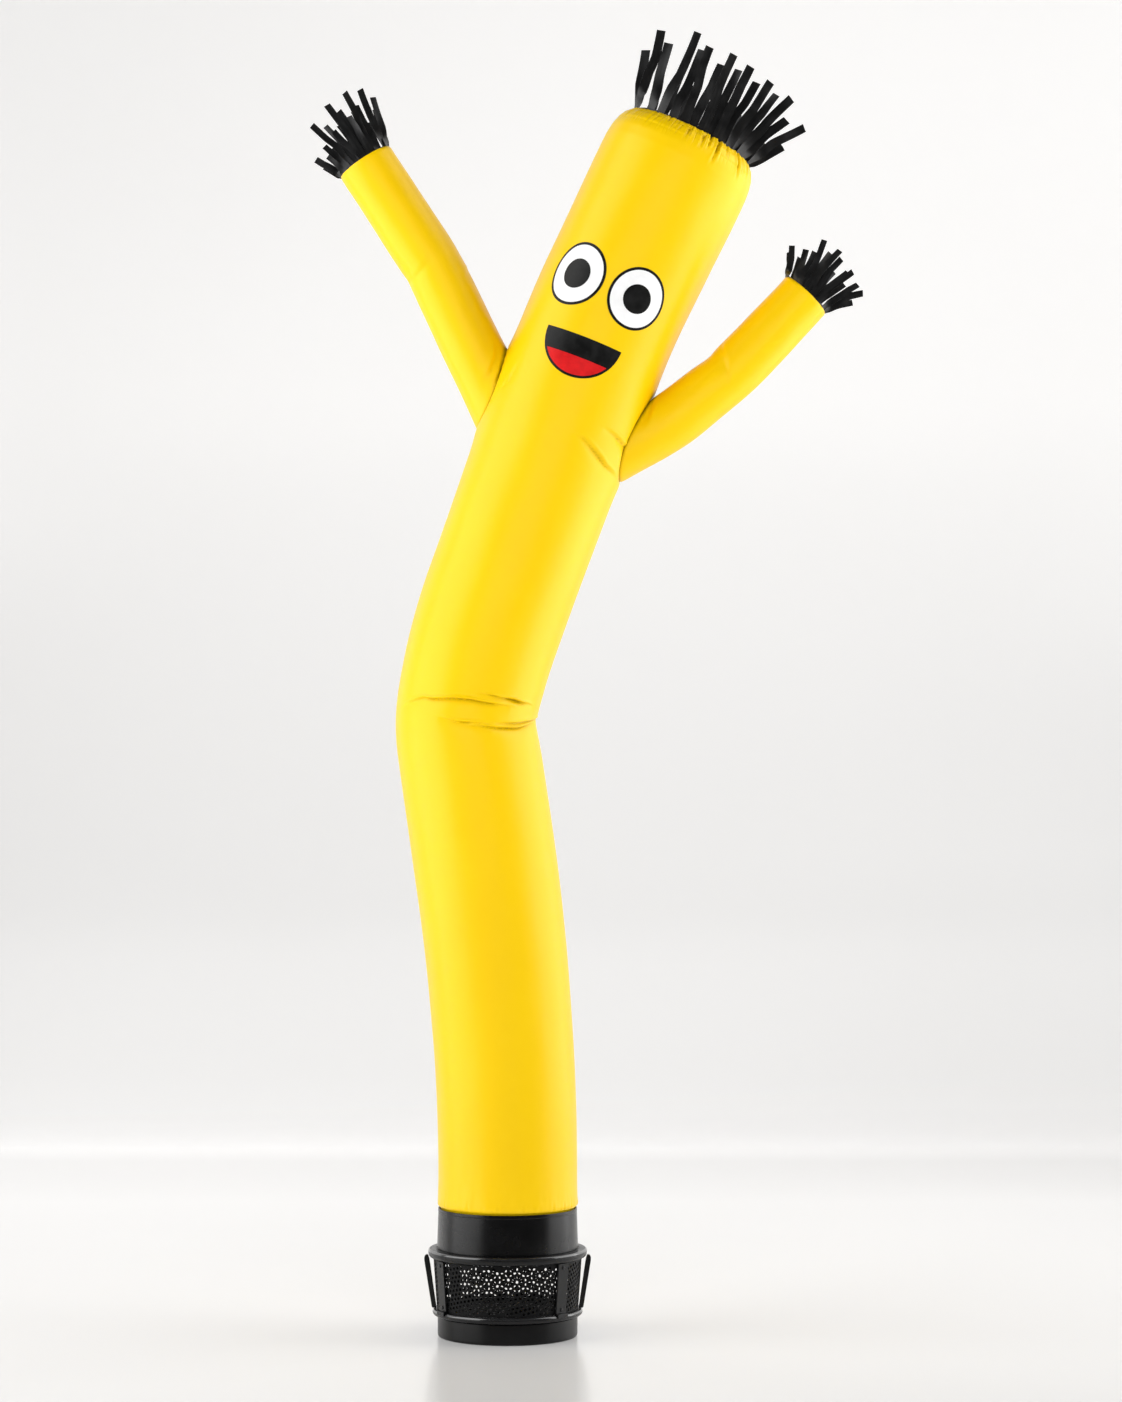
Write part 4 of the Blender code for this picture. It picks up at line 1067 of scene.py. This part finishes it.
POSTS = [("post_front_left", -151.0), ("post_front_right", -43.0), ("post_back_right", 29.0), ("post_back_left", 137.0)]
for name, azimuth in POSTS:
    near, far, low, high = 0.1588, 0.1632, 0.0626, 0.1762
    # each post stands on the lower band, whose outer face its foot tab laps
    outline = [(near, low), (0.1678, low), (0.1678, 0.0560), (0.1696, 0.0560), (0.1696, 0.0650), (far + 0.0004, 0.0672), (far + GRILLE_FLARE, high), (near + GRILLE_FLARE, high)]
    bar(name + "_bar", name, outline, 0.0310, azimuth, METAL, 0.0007)
    lean = math.atan2(GRILLE_FLARE, high - low)
    for label, height in (("low", 0.0740), ("high", 0.1670)):
        screw(name + "_screw_" + label, azimuth, height, far + 0.0002 + GRILLE_FLARE * (height - low) / (high - low), -lean)

STRUT_SIDE = [(0.1775, 0.1808), (0.1800, 0.1815), (0.1828, 0.1806), (0.1850, 0.1780), (0.1859, 0.1740), (0.1858, 0.1690), (0.1692, 0.0650), (0.1670, 0.0627), (0.1588, 0.0627), (0.1590, 0.0660), (0.1718, 0.1560), (0.1748, 0.1735)]
for name, azimuth in (("strut_right", 0.0), ("strut_left", 180.0)):
    bar(name + "_bar", name, STRUT_SIDE[::-1], 0.0140, azimuth, PLASTIC, 0.0010)

# ---------------------------------------------------------------- studio


def stage_material():
    """White paper with a faint glow of its own, stronger on the backdrop and to the right, which keeps it pale where the lamps don't reach."""
    n = Nodes("studio_look")
    where = n.coords("Object")
    soft = n.noise(where, 0.6, 2.0, 0.5)
    parts = n.add("ShaderNodeSeparateXYZ", Vector=where)
    behind = n.span(parts.outputs["Y"], -1.2, 5.0, FLOOR_GLOW, BACKDROP_GLOW)
    # painted light: high up, the glow rises from left to right; low down, it falls from left to right
    high_up = n.math("MULTIPLY", n.span(parts.outputs["X"], -1.9, 2.1, -0.060, 0.055), n.span(parts.outputs["Z"], 1.2, 3.6, 0.0, 1.0))
    low_down = n.math("MULTIPLY", n.span(parts.outputs["X"], -1.4, 1.6, 0.020, -0.080), n.span(parts.outputs["Z"], 0.0, 0.8, 1.0, 0.0))
    # painted shade: the glow dips in a band round y = 3.3 m, where the floor bends up into the backdrop
    bend_shade_dip = n.span(n.math("ABSOLUTE", n.math("SUBTRACT", parts.outputs["Y"], 3.3)), 0.0, 0.95, -0.105, 0.0)
    outside = n.math("MAXIMUM", n.span(parts.outputs["Y"], -9.0, -3.5, 0.42, 0.0), n.span(n.math("ABSOLUTE", parts.outputs["X"]), 3.2, 5.2, 0.0, 0.42))
    sideways = n.math("ADD", n.math("ADD", n.math("ADD", high_up, low_down), outside), bend_shade_dip)
    n.put(n.ramp(soft, [(0.3, (0.775, 0.768, 0.762)), (0.7, (0.79, 0.785, 0.78))]), "Base Color")
    n.put(n.span(soft, 0.3, 0.7, 0.17, 0.20), "Roughness")
    n.put(n.math("ADD", behind, sideways), "Emission Strength")
    n.fix(Specular_IOR_Level=0.50)
    n.shader.inputs["Emission Color"].default_value = (1.0, 0.992, 0.985, 1)
    # the paper is clear from behind, so that the dancer's back can be seen through it
    clear = n.add("ShaderNodeBsdfTransparent")
    either = n.add("ShaderNodeMixShader")
    n.tree.links.new(n.add("ShaderNodeNewGeometry").outputs["Backfacing"], either.inputs[0])
    n.tree.links.new(n.shader.outputs[0], either.inputs[1])
    n.tree.links.new(clear.outputs[0], either.inputs[2])
    n.tree.links.new(either.outputs[0], n.tree.nodes["Material Output"].inputs["Surface"])
    return n.material


def wall_material():
    """Pale paint on the studio's far walls, which only the camera sees."""
    n = Nodes("studio_wall_look")
    soft = n.noise(n.coords("Object"), 0.15, 2.0, 0.5)
    n.put(n.ramp(soft, [(0.3, (0.10, 0.10, 0.10)), (0.7, (0.12, 0.12, 0.12))]), "Base Color")
    n.fix(Roughness=0.9)
    n.shader.inputs["Emission Color"].default_value = (1.0, 0.995, 0.99, 1)
    n.shader.inputs["Emission Strength"].default_value = 0.80
    return n.material


FLOOR_GLOW, BACKDROP_GLOW = 0.075, 0.425


def studio():
    """A floor that curves up into a pale backdrop behind, and the floor's part in front of the picture, which stays out of reflections."""
    half, front, back, rise = 14.2, -0.93, 3.6, 2.4
    profile = [(front, 0.0), (back, 0.0)]
    for k in range(1, 33):
        a = math.pi / 2 * k / 32
        profile.append((back + rise * math.sin(a), rise * (1 - math.cos(a))))
    profile.append((back + rise, 9.0))
    paper = stage_material()
    for name, rows, mirrored in (("studio_floor", profile, True), ("studio_apron", [(-14.2, 0.0), (front, 0.0)], False)):
        verts = [(x, y, z) for y, z in rows for x in (-half, half)]
        faces = [[2 * k, 2 * k + 1, 2 * k + 3, 2 * k + 2] for k in range(len(rows) - 1)]
        obj = make(name, verts, faces, paper, angle=60)
        obj.visible_glossy = mirrored
    # far walls all round, behind the backdrop: only views from the sides and the back show them
    turn = 2 * math.pi * np.arange(48) / 48
    verts = [(14.0 * math.cos(a), 14.0 * math.sin(a), z) for z in (-0.01, 11.0) for a in turn]
    wall = make("studio_wall", verts, grid_faces(2, 48, flip=True), wall_material(), angle=60)
    wall.visible_diffuse = wall.visible_glossy = wall.visible_shadow = False


studio()


def area_light(name, place, aim, size, radiance, colour=(1, 1, 1), mirrored=True):
    """A soft box. radiance is about what a white sheet shows when the box fills its view."""
    data = bpy.data.lights.new(name, "AREA")
    data.shape, data.size, data.size_y = "RECTANGLE", size[0], size[1]
    data.energy, data.color = radiance * math.pi * size[0] * size[1], colour
    obj = bpy.data.objects.new(name, data)
    bpy.context.scene.collection.objects.link(obj)
    obj.location = place
    d = np.array(aim, float) - np.array(place, float)
    flat = math.hypot(d[0], d[1])
    obj.rotation_euler = (math.pi / 2 + math.atan2(d[2], flat), 0, math.atan2(d[1], d[0]) - math.pi / 2)
    obj.visible_camera = False
    obj.visible_glossy = mirrored
    return obj


area_light("wall_left", (-3.3, -1.5, 3.1), (0.0, -1.5, 3.1), (4.2, 6.4), 2.35)
area_light("wall_right", (3.2, 0.4, 3.1), (0.0, 0.4, 3.1), (3.0, 6.4), 1.95)
area_light("fill_right", (3.4, -1.0, 2.4), (0.1, 0.0, 1.5), (2.4, 5.0), 1.10, mirrored=False)
area_light("fill_front", (0.4, -7.0, 3.1), (0.1, 0, 1.5), (6.0, 4.0), 3.05, mirrored=False)

world = bpy.data.worlds.new("studio")
world.use_nodes = True
world.node_tree.nodes["Background"].inputs["Color"].default_value = (1.0, 0.995, 0.99, 1)
world.node_tree.nodes["Background"].inputs["Strength"].default_value = 0.05
bpy.context.scene.world = world
bpy.context.scene.view_settings.view_transform = "Standard"
bpy.context.scene.view_settings.look = "None"

camera_data = bpy.data.cameras.new("camera")
camera_data.sensor_fit = "VERTICAL"
camera_data.sensor_height = 36.0
camera_data.lens = 4500.0 / 1402.0 * 36.0
camera_data.clip_end = 100.0
camera = bpy.data.objects.new("camera", camera_data)
bpy.context.scene.collection.objects.link(camera)
camera.location = (0.1191, -10.017, 1.569)
camera.rotation_euler = (math.pi / 2 - math.atan(69.0 / 4500.0), 0, 0)
bpy.context.scene.camera = camera
